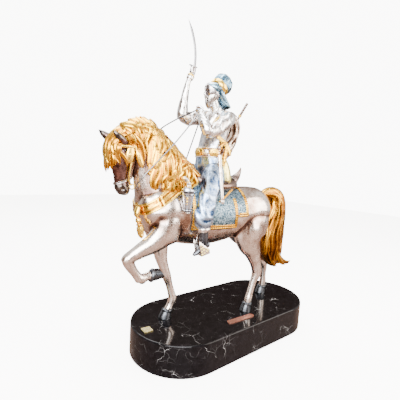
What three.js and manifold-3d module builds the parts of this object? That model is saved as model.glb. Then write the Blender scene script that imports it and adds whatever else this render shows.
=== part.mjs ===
// An equestrian statuette: a horseman with a raised sabre on a stepping horse, cast in
// silvered and gilt metal, on a polished marble plinth with half-round ends.
// Millimetres, +Z up. The origin is the centre of the plinth's underside; the horse
// looks along -X, so its left side is -Y.
import * as THREE from 'three';
import { mergeVertices } from 'three/addons/utils/BufferGeometryUtils.js';
import Module from 'manifold-3d';

// Driving dimensions, in millimetres and degrees
const plinthLength = 434;
const plinthWidth = 200;
const plinthHeight = 60;
const plinthEdge = 1.5; // bevel round the plinth's top and bottom edges
const plinthArcSteps = 24; // facets in each half-round end

const nameplateLength = 70;
const nameplateWidth = 12;
const nameplateThickness = 1.2;
const nameplateX = -15;
const nameplateInset = 33; // from the plinth's front edge to the plate's middle
const nameplateTurn = -3;

const cornerPlaqueSide = 17;
const cornerPlaqueThickness = 1.5;
const cornerPlaqueInset = 20; // from the plinth's end to the plaque's middle
const cornerPlaqueY = -4;

const withersHeight = 275; // the horse, hoof to withers
const riderHeight = 315; // the rider, standing, to the top of the cap
const horseX = -20;
const horseY = -10;
const horseTurn = 4.5; // clockwise, seen from above

const fitGap = 0.3; // between two pieces that touch
const clothThickness = 1.8;
const clothBorderRise = 1.2; // the gilt border stands proud of the cloth
const clothBorderWidth = 6;
const strapThickness = 1.5;
const strapWidth = 4.5;
const collarThickness = 2;
const collarWidth = 15;
const reinDiameter = 1.6;
const stirrupPlate = 2;
const sabreWidth = 5.2;
const sabreThickness = 2;
const sabreLength = 82;
const sabreBow = 0.085; // of the blade's length
const sabreLean = 0.146; // forward, of the blade's length
const scabbardWidth = 6.4;
const scabbardThickness = 4;
const scabbardLength = 88;
const rifleLength = 112;
const rifleBarrel = 4.4; // diameter
const holsterLength = 40;

// The carving is written for a horse 275 mm high and a rider 315 mm tall
const horseScale = withersHeight / 275;
const riderScale = riderHeight / 315;

const wasm = await Module();
wasm.setup();

const vec = (x, y, z) => new THREE.Vector3(x, y, z);
const mix = THREE.MathUtils.lerp;
const radians = THREE.MathUtils.degToRad;

// Joins rings of points into one closed skin; the end rings are closed by fans
function skin(rings) {
  const sides = rings[0].length;
  const points = rings.flat();
  const tip = (ring) => ring.reduce((sum, p) => sum.add(p), vec(0, 0, 0)).divideScalar(sides);
  points.push(tip(rings[0]), tip(rings[rings.length - 1]));
  const faces = [];
  for (let k = 0; k + 1 < rings.length; k++) {
    for (let i = 0; i < sides; i++) {
      const a = k * sides + i;
      const b = k * sides + ((i + 1) % sides);
      faces.push(a, b, b + sides, a, b + sides, a + sides);
    }
  }
  const last = (rings.length - 1) * sides;
  for (let i = 0; i < sides; i++) {
    const j = (i + 1) % sides;
    faces.push(points.length - 2, j, i, points.length - 1, last + i, last + j);
  }
  return closedSolid(points, faces);
}

// A manifold from points and triangles, turned outward if its volume comes out negative
function closedSolid(points, faces) {
  let volume = 0;
  for (let i = 0; i < faces.length; i += 3) {
    const [a, b, c] = [points[faces[i]], points[faces[i + 1]], points[faces[i + 2]]];
    volume += a.dot(vec(0, 0, 0).crossVectors(b, c));
  }
  if (volume < 0) faces.reverse();
  const vertProperties = new Float32Array(points.flatMap((p) => [p.x, p.y, p.z]));
  const mesh = new wasm.Mesh({ numProp: 3, vertProperties, triVerts: new Uint32Array(faces) });
  mesh.merge();
  return new wasm.Manifold(mesh);
}

// A manifold from one of three's own closed geometries
function fromGeometry(geometry) {
  geometry.deleteAttribute('normal');
  geometry.deleteAttribute('uv');
  const merged = mergeVertices(geometry, 1e-4);
  const vertProperties = new Float32Array(merged.attributes.position.array);
  const triVerts = new Uint32Array(merged.index.array);
  return new wasm.Manifold(new wasm.Mesh({ numProp: 3, vertProperties, triVerts }));
}

function toGeometry(manifold) {
  const { vertProperties, triVerts } = manifold.getMesh();
  const geometry = new THREE.BufferGeometry();
  geometry.setAttribute('position', new THREE.BufferAttribute(vertProperties, 3));
  geometry.setIndex(new THREE.BufferAttribute(triVerts, 1));
  geometry.computeVertexNormals();
  return geometry;
}

const join = (...solids) => solids.flat().reduce((sum, one) => sum.add(one));
const cut = (solid, ...tools) => tools.flat().reduce((left, tool) => left.subtract(tool), solid);

// Rows of numbers made finer by a curve that passes through each of them
function finer(rows, steps) {
  const out = [];
  for (let k = 0; k + 1 < rows.length; k++) {
    const p0 = rows[Math.max(k - 1, 0)];
    const p1 = rows[k];
    const p2 = rows[k + 1];
    const p3 = rows[Math.min(k + 2, rows.length - 1)];
    for (let s = 0; s < steps; s++) {
      const t = s / steps;
      out.push(p1.map((v, i) => v + 0.5 * t * (p2[i] - p0[i]
        + t * (2 * p0[i] - 5 * v + 4 * p2[i] - p3[i] + t * (3 * (v - p2[i]) + p3[i] - p0[i])))));
    }
  }
  out.push(rows[rows.length - 1]);
  return out;
}

// A ring of points round a centre, from its two half-axes
function oval(centre, across, deep, sides, fold = () => 1) {
  return Array.from({ length: sides }, (_, i) => {
    const angle = (2 * Math.PI * i) / sides;
    const r = fold(angle);
    return centre.clone().addScaledVector(across, r * Math.cos(angle)).addScaledVector(deep, r * Math.sin(angle));
  });
}

// A limb along a path: rows of [x, y, z, half width, half depth]; the half width lies along
// "across", the half depth square to it and to the path. "grow" thickens it all round.
function limb(rows, { sides = 10, across = vec(0, 1, 0), grow = 0, fold } = {}) {
  const last = rows.length - 1;
  const centres = rows.map(([x, y, z]) => vec(x, y, z));
  const rings = rows.map((row, k) => {
    const t = centres[Math.min(k + 1, last)].clone().sub(centres[Math.max(k - 1, 0)]).normalize();
    const s = across.clone().addScaledVector(t, -across.dot(t)).normalize();
    const n = vec(0, 0, 0).crossVectors(t, s);
    const end = k === 0 ? -grow : k === last ? grow : 0;
    const at = centres[k].clone().addScaledVector(t, end);
    return oval(at, s.multiplyScalar(row[3] + grow), n.multiplyScalar(row[4] + grow), sides,
      fold && ((angle) => fold(angle, k / last)));
  });
  return skin(rings);
}

// A form drawn in side view: rows of [x, z] on its lower or front edge, [x, z] on its upper
// or back edge, and its half width there
function profile(rows, { sides = 14, grow = 0, place = (p) => p } = {}) {
  const centres = rows.map(([x1, z1, x2, z2]) => vec((x1 + x2) / 2, 0, (z1 + z2) / 2));
  const last = rows.length - 1;
  const rings = rows.map(([x1, z1, x2, z2, half], k) => {
    const deep = vec((x2 - x1) / 2, 0, (z2 - z1) / 2);
    deep.setLength(deep.length() + grow);
    const outward = k === 0 ? centres[0].clone().sub(centres[1]) : centres[k].clone().sub(centres[k - 1]);
    const centre = centres[k].clone().addScaledVector(outward.normalize(), k === 0 || k === last ? grow : 0);
    return oval(centre, vec(0, half + grow, 0), deep, sides).map(place);
  });
  return skin(rings);
}

const block = (x, y, z, dx, dy, dz, turn = [0, 0, 0]) => fromGeometry(
  new THREE.BoxGeometry(dx, dy, dz).applyMatrix4(new THREE.Matrix4().makeRotationFromEuler(
    new THREE.Euler(...turn.map(radians)))).translate(x, y, z));

// A prism right through the horse, from an outline in side view
function sidePrism(outline, y0, y1) {
  return skin([y0, y1].map((y) => outline.map(([x, z]) => vec(x, y, z))));
}

const h = (rows) => rows.map((row) => row.map((v) => v * horseScale));

// The horse

const barrelRows = h([
  [-201, 216, -204, 236, 13], [-193, 197, -199, 252, 30], [-174, 178, -176, 268, 43],
  [-140, 163, -140, 278, 47], [-98, 154, -98, 277, 49], [-54, 151, -54, 267, 51],
  [-10, 157, -10, 264, 51], [34, 169, 34, 268, 49], [70, 174, 70, 267, 45.5],
  [93, 181, 93, 256, 36], [105, 194, 104, 240, 24], [108, 207, 108, 228, 11]]);
const neckRows = h([
  [-190, 200, -66, 262, 40], [-204, 234, -98, 286, 32], [-208, 258, -126, 307, 26],
  [-211, 281, -150, 330, 21.5], [-214, 300, -174, 349, 18], [-224, 318, -199, 361, 16],
  [-240, 334, -224, 362, 12]]);
const headRows = h([
  [-246, 353, -222, 345, 11], [-257, 338, -209, 330, 16], [-259, 323, -206, 314, 17],
  [-256, 306, -207, 297, 15], [-249, 285, -214, 279, 10], [-245, 268, -217.5, 267, 9.2],
  [-243, 259, -217, 258, 10.8], [-238, 251.5, -219, 251.5, 8.6], [-232, 249, -224, 249, 4]]);
const headTurn = radians(8);
const headPivot = [-222 * horseScale, 0];

// The head looks a little to the horse's left
function turnHead(p) {
  const [cx, cy] = headPivot;
  const [dx, dy] = [p.x - cx, p.y - cy];
  const [c, s] = [Math.cos(headTurn), Math.sin(headTurn)];
  return vec(cx + dx * c - dy * s, cy + dx * s + dy * c, p.z);
}
const turnRows = (rows) => rows.map(([x, y, z, ...rest]) => {
  const p = turnHead(vec(x, y, z));
  return [p.x, p.y, p.z, ...rest];
});

const standingForeRows = h([
  [-150, 24, 236, 19, 32], [-151, 27, 204, 20, 32], [-146, 26, 176, 17, 25.5], [-141, 25, 150, 13, 17],
  [-137, 24, 122, 10.2, 12], [-130, 23, 100, 9.2, 9.8], [-125, 22.5, 86, 8.8, 9.6], [-118, 22, 66, 6.4, 7.4],
  [-111.5, 21, 45, 6.8, 8], [-110, 21, 36, 8, 9.4], [-114.5, 20.5, 26, 6.6, 7.2], [-120, 20, 17, 8.4, 9]]);
const raisedForearmRows = h([
  [-150, -24, 238, 19, 32], [-154, -28, 210, 20, 32], [-162, -31, 188, 18, 25], [-182, -31, 170, 14.5, 18.5],
  [-204, -30, 158.5, 11.5, 13.5], [-220, -29, 150, 10, 11], [-229, -29, 144.5, 9.6, 10], [-235, -29, 140.5, 7, 6.5]]);
const raisedCannonRows = h([
  [-229, -29, 150, 7, 7], [-227, -28.7, 142, 9, 9.5], [-221, -28.4, 131, 8, 8.6], [-214, -28, 121, 6.8, 7.4],
  [-207, -27.5, 111.5, 7.2, 8], [-203, -27, 106, 8.2, 8.6]]);
const raisedPasternRows = h([
  [-205, -27, 106, 8, 7], [-200, -27, 107, 8.4, 9], [-192, -26.8, 110, 7.2, 7.4], [-184, -26.5, 111, 8.6, 9]]);
const nearHindRows = h([
  [62, -22, 232, 18, 38], [50, -28, 200, 21, 46], [40, -31, 174, 20, 43], [41, -32, 152, 16.5, 31],
  [53, -31, 130, 12.8, 20.5], [65, -30, 104, 10, 13.6], [71, -30, 86, 9.8, 12.4], [69, -30, 75, 8.8, 10.6],
  [62, -30.2, 60, 6.8, 7.6], [55, -30.6, 38, 6.8, 7.6], [51.5, -31, 26, 7.8, 8.8], [48.5, -31, 19, 7.4, 8]]);
const farHindRows = h([
  [64, 22, 232, 18, 38], [60, 28, 200, 21, 45], [68, 31, 172, 19, 40], [86, 31, 147, 15, 28],
  [110, 29.5, 121, 11.6, 18], [136, 28, 92, 9.8, 13], [149, 28, 77, 9.8, 12.4], [153, 28, 66, 8.4, 9.8],
  [154.5, 28.5, 44, 6.7, 7.5], [155.5, 29, 27, 7.8, 8.8], [153, 29, 19, 7.4, 8]]);

// A hoof under its coronet band: the band's centre, then the centre of the sole
function hoof([x, y, z], [sx, sy], grow) {
  const rows = h([[x, y, z + 3, 7.6, 8.4], [x, y, z + 1.6, 10.2, 10.8], [x - 0.5, y, z - 1.6, 10.4, 11],
    [x - 0.8, y, z - 2.8, 9.6, 10.2], [sx, sy, -1, 11.8, 13.4]]);
  return limb(rows, { sides: 8, grow });
}

const raisedHoofY = -26.5 * horseScale;

// The raised hoof points back, its front wall below and its sole to the rear
function raisedHoof(grow) {
  const rows = h([[-187, 101.5, -183, 121.5, 8.4], [-185, 99.5, -180, 123, 10.4], [-182.5, 99, -178, 123, 10.6],
    [-181.5, 100, -177, 122, 9.8], [-160, 104.5, -168, 121, 12]]);
  return profile(rows, { sides: 8, grow, place: (p) => p.add(vec(0, raisedHoofY, 0)) });
}

function ear(side, grow = 0) {
  const rows = h([[-222, side * 11, 334, 5.5, 7], [-230, side * 17, 342, 6.8, 6.5], [-239, side * 19, 348, 6, 5.2],
    [-248, side * 20, 353, 3.4, 3.4], [-255, side * 20, 357, 0.8, 0.8]]);
  return limb(turnRows(rows), { sides: 6, grow });
}

const barrel = (grow) => profile(barrelRows, { sides: 14, grow });
const trunk = (grow) => join(barrel(grow), profile(neckRows, { sides: 12, grow }));
const head = (grow) => profile(headRows, { sides: 10, grow, place: turnHead });
const foreQuarters = (grow) => join(
  limb(standingForeRows, { sides: 7, grow }), limb(raisedForearmRows, { sides: 7, grow }));

function horseBody(grow = 0) {
  return join(
    trunk(grow), head(grow), foreQuarters(grow),
    limb(raisedCannonRows, { sides: 7, grow }), limb(raisedPasternRows, { sides: 7, grow }),
    limb(nearHindRows, { sides: 7, grow }), limb(farHindRows, { sides: 7, grow }),
    hoof([-121, 20, 16], [-126, 20], grow), hoof([48, -31, 16], [44, -31], grow),
    hoof([152.5, 29, 16], [148.5, 29], grow), raisedHoof(grow));
}

// The mane falls from the crest to a hem of pointed locks: rows of crest x, z, hem x, z
// and the neck's half width there, from the poll to the withers
const maneRows = h([
  [-240, 365, -226, 344, 12], [-213, 377, -210, 322, 16], [-192, 377, -202, 292, 18],
  [-170, 367, -192, 252, 21], [-147, 349, -170, 232, 26], [-122, 324, -142, 236, 32], [-96, 300, -106, 262, 35]]);
const maneLocks = 9;
const maneRidge = 3.4 * horseScale; // depth of the grooves between locks
const maneThickness = 4 * horseScale;
const maneShorter = 0.8; // the far side hangs less low

function maneSide(side, grow) {
  const columns = maneLocks * 2;
  const drop = side < 0 ? 1 : maneShorter;
  const rows = finer(maneRows, 5);
  const rings = [];
  for (let k = 0; k <= columns; k++) {
    const along = (k / columns) * (rows.length - 1);
    const low = Math.min(Math.floor(along), rows.length - 2);
    const [cx, cz, hx, hz, half] = rows[low].map((v, i) => mix(v, rows[low + 1][i], along - low));
    const ridge = k % 2;
    const end = k === 0 ? -grow : k === columns ? grow : 0;
    const fall = drop * (ridge ? 1.08 : 0.9 + 0.05 * Math.sin(3 * k));
    const ring = [0, 0.14, 0.42, 0.76, 1].map((v) => {
      const taper = Math.sqrt(1 - v ** 6);
      const y = half * Math.sin(Math.min(1, v * 1.7) * Math.PI / 2)
        + (maneThickness + (ridge ? maneRidge : 0)) * taper * Math.min(1, 0.5 + 3 * v) + grow;
      const sway = 2.5 * horseScale * Math.sin(2.2 * k + 5 * v) * v;
      return vec(mix(cx, hx, v * fall) + sway + end, side * y, mix(cz, hz, v * fall) + grow * (1 - 2 * v));
    });
    const hem = ring[ring.length - 1];
    ring.push(vec(hem.x, side * (half * 0.5 - grow), hem.z), vec(cx + end, -side * (2 + 3 * grow), cz - 12 * horseScale));
    rings.push(ring);
  }
  return skin(rings);
}

// One lock of hair, a tapering tube with a flattened section
const lock = (rows, sides, grow) => limb(rows, { sides, grow });

function forelock(grow) {
  const drops = [22, 40, 30, 42, 28]; // how far each lock hangs below the brow
  return join(drops.map((drop, i) => {
    const y = (i - 2) * 6.2;
    const back = 2.2 * (i - 2) ** 2;
    const wave = 2 * Math.sin(2.4 * (i - 2));
    return lock(turnRows(h([
      [-226, y * 0.7, 358, 6, 7], [-245, y, 358, 6.4, 7], [-259 + back, y * 1.15 + wave, 344, 6.6, 6],
      [-261 + back, y * 1.2 + wave, 328 - drop * 0.4, 5.6, 5], [-253 + back, y * 1.1, 328 - drop, 1.6, 1.6]])), 5, grow);
  }));
}

// Solid hair below the crest and the brow, so that no pocket is left under the locks
const underHair = (grow) => limb(turnRows(h([
  [-252, 0, 334, 10, 8], [-244, 0, 344, 14, 12], [-224, 0, 353, 12, 14]])).concat(h([
  [-196, 0, 358, 10, 14], [-160, 0, 342, 12, 16], [-128, 0, 314, 14, 14], [-102, 0, 288, 14, 12]])), { sides: 8, grow });

const tailRows = h([
  [98, 0, 246, 8, 9], [112, 0, 254, 11, 11], [130, 0, 254, 14, 15], [147, 0, 241, 16, 22],
  [151, 0, 214, 17.5, 26.5], [147, 0, 178, 19, 29.5], [143, 0, 138, 19, 31], [150, 0, 102, 14.5, 27.5],
  [162, 0, 77, 4, 8]]);
const tailRidges = 5;

function tail(grow) {
  const fold = (angle, along) => 1 + 0.12 * Math.min(1, 3 * along) * Math.cos(tailRidges * angle + 5 * along);
  return join(
    limb(tailRows, { sides: tailRidges * 2, grow, fold }),
    lock(h([[160, -4, 110, 9, 12], [172, -5, 94, 7, 10], [186, -5, 84, 6, 7], [200, -5, 80, 5, 5],
      [212, -5, 83, 2, 2.5]]), 7, grow),
    lock(h([[132, 4, 125, 8, 10], [130, 4, 106, 6.5, 8], [138, 3, 88, 5, 6], [152, 2, 76, 2, 2.5]]), 7, grow));
}

function horseHair(grow = 0) {
  return join(maneSide(-1, grow), maneSide(1, grow), underHair(grow), forelock(grow), tail(grow));
}

const plinthRoom = sidePrism([[-plinthLength, -plinthHeight], [plinthLength, -plinthHeight],
  [plinthLength, fitGap], [-plinthLength, fitGap]], -plinthWidth, plinthWidth);
const horseSolid = cut(join(horseBody(), ear(-1), ear(1), horseHair()), plinthRoom);
const horseHairRoom = horseHair(fitGap);
const horseRoom = join(horseBody(fitGap), horseHairRoom);

// Saddle cloth: a skin over the horse's back cut to its outline in side view, with a gilt
// border that stands proud. The front flap is deeper than the rear one.
const clothFront = -118 * horseScale;
const clothStep = -15 * horseScale; // where the deep front flap ends
const clothRear = 13 * horseScale;
const frontHem = 189 * horseScale;
const rearHem = 211 * horseScale;
const stepTop = 252 * horseScale; // of the border down the front flap's rear edge
const clothTop = 300 * horseScale; // above the horse's back
const reach = 90 * horseScale; // past the horse's flanks

// The part of the cloth between two heights and two places along the horse, grown by e
const clothSlab = (x0, z0, x1, z1, e) => sidePrism(
  [[x0 - e, z0 - e], [x1 + e, z0 - e], [x1 + e, z1 + e], [x0 - e, z1 + e]], -reach, reach);

function saddleCloth(e = 0) {
  const w = clothBorderWidth;
  const field = join(
    clothSlab(clothFront, frontHem, clothStep, clothTop, e), clothSlab(clothStep, rearHem, clothRear, clothTop, e));
  const border = join(
    clothSlab(clothFront, frontHem, clothFront + w, clothTop, e),
    clothSlab(clothFront, frontHem, clothStep, frontHem + w, e),
    clothSlab(clothStep - w, frontHem, clothStep, stepTop, e),
    clothSlab(clothStep, rearHem, clothRear, rearHem + w, e),
    clothSlab(clothRear - w, rearHem, clothRear, clothTop, e));
  return join(barrel(fitGap + clothThickness + e).intersect(field),
    barrel(fitGap + clothThickness + clothBorderRise + e).intersect(border));
}
const clothSolid = cut(saddleCloth(), trunk(fitGap), horseHairRoom);

// Saddle: a seat between a low pommel and a high cantle that ends in a point

const saddleRows = h([
  [-102, 0, 284, 15, 13], [-90, 0, 280, 24, 15], [-72, 0, 272, 31, 15], [-45, 0, 268, 34, 15],
  [-20, 0, 268, 33, 15], [0, 0, 270, 26, 14], [9, 0, 272, 18, 10]]);
const cantleRows = h([[-6, 0, 272, 24, 8], [6, 0, 281, 21, 6], [17, 0, 288, 14, 4.4], [25, 0, 296, 7, 3.4],
  [29, 0, 304, 3, 2.2], [30, 0, 310, 0.8, 1]]);
const pommelRows = h([[-94, 0, 283, 12, 8], [-94, 0, 298, 8, 6], [-94, 0, 306, 6.5, 5.5], [-94, 0, 311, 3, 3]]);

function saddle(grow = 0) {
  return join(limb(saddleRows, { sides: 10, grow }), limb(cantleRows, { sides: 7, grow }),
    limb(pommelRows, { sides: 7, grow }));
}
const clothedTrunk = trunk(2 * fitGap + clothThickness + clothBorderRise);
const saddleSolid = cut(saddle(), clothedTrunk, horseHairRoom, horseHair().translate([fitGap, 0, fitGap]));

// The rider: rows are written from the seat, then placed on the saddle

const [saddleX, , saddleZ, , saddleDeep] = saddleRows[3]; // the middle of the saddle's seat
const seat = vec(saddleX - 5 * horseScale, 0, saddleZ + saddleDeep + horseScale);
const r = (rows) => rows.map(([x, y, z, ...rest]) => [
  seat.x + x * riderScale, seat.y + y * riderScale, seat.z + z * riderScale, ...rest.map((v) => v * riderScale)]);
const at = (x, y, z) => [seat.x + x * riderScale, seat.y + y * riderScale, seat.z + z * riderScale];

const torsoRows = r([
  [0, 0, 2, 30, 24], [-4, 0, 22, 33, 26], [-5, 0, 31, 31, 24], [-5, 0, 32, 33, 26], [-4.5, 0, 43, 32, 25.5],
  [-4, 0, 44, 29.5, 23.5], [-1, 0, 64, 30, 23], [8, 0, 98, 34.5, 21], [11, 0, 118, 31, 16], [8, 0, 130, 15, 12]]);
const nape = [-3, 0, 150]; // the top of the neck, from the seat
const neckPieceRows = r([[8, 0, 122, 12, 12], [2, 0, 136, 9.5, 10.5], [...nape, 10, 11]]);
const cloakRows = r([
  [14, 0, 126, 22, 8], [26, -4, 116, 33, 12], [31, -7, 96, 34, 14], [29, -8, 74, 31, 14], [22, -8, 54, 27, 12],
  [14, -6, 40, 22, 9]]);
const leftUpperArmRows = r([
  [16, -27, 117, 13, 12], [10, -36, 112, 14, 15], [-8, -43, 101, 14, 16], [-24, -46, 91, 13.5, 15],
  [-37, -46, 85, 12, 12.5], [-45, -44, 84, 8, 9]]);
const leftForearmRows = r([
  [-40, -46, 79, 9, 10], [-43, -44, 88, 12, 13], [-45, -38, 99, 11, 12], [-46, -31, 109, 8, 8.5],
  [-46, -26, 115, 6, 6.2], [-46, -23, 119, 5.4, 5.6]]);
const rightUpperArmRows = r([
  [12, 26, 120, 12, 12], [2, 34, 122, 14, 14], [-16, 37, 118, 13.5, 15], [-34, 37, 114, 12.5, 14],
  [-48, 36, 116, 11, 11], [-56, 35, 121, 7, 7]]);
const rightForearmRows = r([
  [-52, 35, 112, 9.5, 9], [-51, 34.5, 124, 10.5, 11.4], [-49.5, 33.5, 142, 8.4, 9], [-47, 32.5, 162, 6.6, 7],
  [-43.5, 31.5, 182, 5, 5.4], [-39, 31, 193, 4.8, 5.2], [-36, 31, 198, 5, 5.2]]);
const cuffRows = r([[-40.6, 31.2, 189, 6.2, 6.6], [-37.6, 31, 195, 6.2, 6.6]]);

// Baggy trousers gathered at a cuff, then the boot; "side" is -1 on the left
const trouserRows = (side) => r([
  [4, side * 14, 16, 18, 24], [-8, side * 26, 2, 19, 25], [-24, side * 38, -18, 17, 24], [-38, side * 46, -40, 17, 23],
  [-47, side * 51, -66, 18.5, 24], [-47, side * 52.5, -80, 16, 20.5], [-45, side * 53, -92, 9.6, 11]]);
const bootTop = [-45.5, 53, -88];
const ankle = [-42, 54, -121];
const fromAnkle = (side, dx, dy, dz) => [ankle[0] + dx, side * (ankle[1] + dy), ankle[2] + dz];
const bootRows = (side) => r([
  [bootTop[0], side * bootTop[1], bootTop[2], 8.6, 9.6], [...fromAnkle(side, -2, -1, 15), 7.8, 9],
  [...fromAnkle(side, 0, 0, 0), 7, 9]]);
const footRows = (side) => r([
  [...fromAnkle(side, 9, 0, 3), 5.6, 6], [...fromAnkle(side, 1, 0, 0), 6.8, 8],
  [...fromAnkle(side, -8, 0.5, -6), 6.6, 6.6], [...fromAnkle(side, -17, 1, -12), 5.8, 5],
  [...fromAnkle(side, -24, 1, -16), 3, 2.6]]);

const headCentre = vec(...nape).add(vec(-1, 0, 14)); // from the seat
const riderHeadTurn = radians(14); // to the rider's left
const riderHeadLean = radians(-6); // the chin lifts a little

// Places a row of head carving, written from the head's centre
const onHead = (rows) => r(rows.map(([x, y, z, ...rest]) => {
  const p = vec(x, y, z).applyAxisAngle(vec(0, 1, 0), riderHeadLean).applyAxisAngle(vec(0, 0, 1), riderHeadTurn);
  return [p.x + headCentre.x, p.y + headCentre.y, p.z + headCentre.z, ...rest];
}));
const crossHead = vec(0, 1, 0).applyAxisAngle(vec(0, 0, 1), riderHeadTurn);

function riderHead() {
  const piece = (rows, sides) => limb(onHead(rows), { sides, across: crossHead });
  const skull = piece([[0, 0, 12, 13, 15], [0, 0, 7, 15, 18.5], [-1, 0, -3, 14, 17.5], [-4, 0, -13, 11, 13]], 9);
  const nose = piece([[-17, 0, 5, 1.6, 2], [-19.5, 0, -2, 2.4, 3], [-18.5, 0, -5.5, 3, 2.6], [-15, 0, -6.5, 2, 2]], 5);
  const brow = piece([[-12, -10, 4.5, 1.4, 1.4], [-17, -4, 6, 2, 2], [-17, 4, 6, 2, 2], [-12, 10, 4.5, 1.4, 1.4]], 5);
  const beard = piece([[-6, 0, -8, 12.5, 9], [-9, 0, -15, 11, 10.5], [-11, 0, -23, 8, 8.6], [-12.5, 0, -33, 1.6, 2]], 7);
  return join(skull, nose, brow, beard);
}

// The head cloth: a full crown leaning back behind a gilt band, and a flap over the neck
function headCloth() {
  const piece = (rows, sides, fold) => limb(onHead(rows), { sides, across: crossHead, fold });
  const crown = piece([[-4, 0, 4, 15, 17], [13, 0, 11, 20, 20.5], [14, 0, 11.5, 21.6, 22], [19, 0, 14.5, 21.6, 22],
    [20, 0, 15, 20.4, 20.8], [28, 0, 20.5, 19.6, 19.6], [36, 0, 25.5, 9, 9.5]],
  10, (angle, along) => 1 + 0.04 * along * Math.cos(5 * angle));
  const flap = piece([[8, 0, 6, 18, 12], [15, 0, -8, 18, 9], [23, 0, -20, 18, 7], [30, 0, -29, 17, 4]],
    10, (angle) => 1 + 0.07 * Math.cos(5 * angle));
  return join(crown, flap);
}

// A fist closed round something: four finger ridges stacked along its grip
function fist(low, high, half, deep) {
  const swells = [0.7, 1, 0.85, 1, 0.85, 1, 0.85, 0.95, 0.6];
  const rows = swells.map((k, i) => [0, 1, 2].map((c) => mix(low[c], high[c], i / 8)).concat(half * k, deep * k));
  return (grow = 0) => limb(r(rows), { sides: 6, grow });
}
const rightFist = fist([-36, 31, 196], [-32.5, 30, 214], 7, 7.4);
const leftFist = fist([-44, -28, 116], [-46, -13, 125], 6.4, 7);
const thumb = (grow = 0) => limb(r([[-42, -24, 124, 2.6, 2.6], [-47, -20, 129, 2.8, 2.8], [-52, -16, 127, 2.2, 2.2]]),
  { sides: 6, grow });

const sabreGrip = vec(-34, 30.5, 206); // from the seat, the middle of the fist

function sash() {
  const strip = (rows, across) => limb(r(rows), { sides: 6, across });
  return join(
    strip([[8, -24, 42, 7, 4], [12, -30, 26, 7, 4.5], [15, -34, 10, 7.5, 4], [17, -35, -4, 7, 3]], vec(1, 0.3, 0)),
    strip([[3, -23, 40, 5, 4], [6, -29, 24, 5.5, 4], [8, -34, 10, 5, 4]], vec(1, 0.3, 0)));
}

// A strap over the right shoulder to the left hip, raised from the torso
function chestStrap() {
  const slab = block(...at(2, 0, 84), 120 * riderScale, 9 * riderScale, 150 * riderScale, [38, 0, 0]);
  return limb(torsoRows, { sides: 10, grow: 1.4 * riderScale }).intersect(slab);
}

const cloakFold = (angle) => 1 + 0.06 * Math.cos(5 * angle);
const trouserFold = (angle, along) => 1 + 0.06 * Math.sin(Math.PI * along) * Math.cos(5 * angle + 9 * along);
const leg = (side, grow = 0) => join(limb(trouserRows(side), { sides: 10, fold: trouserFold, grow }),
  limb(bootRows(side), { sides: 6, grow }), limb(footRows(side), { sides: 6, grow }));
const leftForearm = (grow = 0) => limb(leftForearmRows, { sides: 7, grow });
const riderParts = [
  limb(torsoRows, { sides: 10 }), limb(neckPieceRows, { sides: 8 }),
  limb(cloakRows, { sides: 10, fold: cloakFold }), chestStrap(),
  limb(leftUpperArmRows, { sides: 8 }), leftForearm(), leftFist(), thumb(),
  limb(rightUpperArmRows, { sides: 8 }), limb(rightForearmRows, { sides: 7 }), rightFist(),
  limb(cuffRows, { sides: 7 }), riderHead(), headCloth(), sash(), leg(-1), leg(1)];

// The sabre: a curved blade of lens section, a cross guard and a grip through the fist
function sabre(grow = 0) {
  const steps = 8;
  const k = riderScale;
  const blade = Array.from({ length: steps + 1 }, (_, i) => {
    const t = i / steps;
    const bow = sabreLength * sabreBow * (1 - (2 * t - 0.75) ** 2);
    const taper = t > 0.8 ? 1 - (t - 0.8) * 4.2 : 1;
    return [bow - sabreLength * sabreLean * t, 0, 8 * k + sabreLength * t,
      (sabreThickness / 2) * Math.max(taper, 0.3), (sabreWidth / 2) * taper];
  });
  const grip = [[-1, 0, -13, 1.8, 1.8], [-1, 0, -11, 2.8, 2.8], [-1, 0, -8, 1.9, 2], [0, 0, 10, 2, 2.3]];
  const guard = [[-9, 0, 9, 1.2, 1.2], [0, 0, 8, 1.9, 1.9], [9, 0, 7, 1.2, 1.2]];
  const [gx, gy, gz] = at(...sabreGrip.toArray());
  const place = (rows) => rows.map(([x, y, z, ...rest]) => [gx + x, gy + y, gz + z, ...rest]);
  const sized = (rows) => rows.map((row) => row.map((v) => v * k));
  return join(limb(place(blade), { sides: 6, grow }), limb(place(sized(grip)), { sides: 5, grow }),
    limb(place(sized(guard)), { sides: 6, grow }));
}

// The rifle hangs across the back with its muzzle over the left shoulder
function rifle(grow = 0) {
  const muzzle = vec(...at(45, -51.5, 153));
  const along = vec(-0.06, 0.68, -0.73).normalize();
  const barrel = rifleBarrel / 2;
  const row = (t, half, deep) => [
    ...muzzle.clone().addScaledVector(along, t * rifleLength).toArray(), half * barrel, deep * barrel];
  return limb([row(0, 1, 1), row(0.5, 1.15, 1.15), row(0.54, 1.3, 1.8), row(0.72, 1.4, 2.1), row(0.8, 1.4, 2.3),
    row(0.88, 1.45, 3.2), row(1, 1.45, 3.9)], { sides: 8, across: vec(1, 0, 0), grow });
}

// The sabre's empty scabbard hangs at the left thigh
function scabbard(grow = 0) {
  const [x, y, z] = at(-15, -47, 42);
  const [w, t] = [scabbardThickness / 2, scabbardWidth / 2];
  const down = (d, k = 1, out = 0) => [x + d * 0.06, y + out - d * 0.13, z - d, w * k, t * k];
  return limb([down(-2, 0.9), down(0), down(8, 1.25), down(11), down(scabbardLength * 0.55), down(scabbardLength * 0.9, 0.95),
    down(scabbardLength * 0.97, 1.2), down(scabbardLength, 0.6)], { sides: 8, across: vec(0.2, 1, 0), grow });
}

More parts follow.
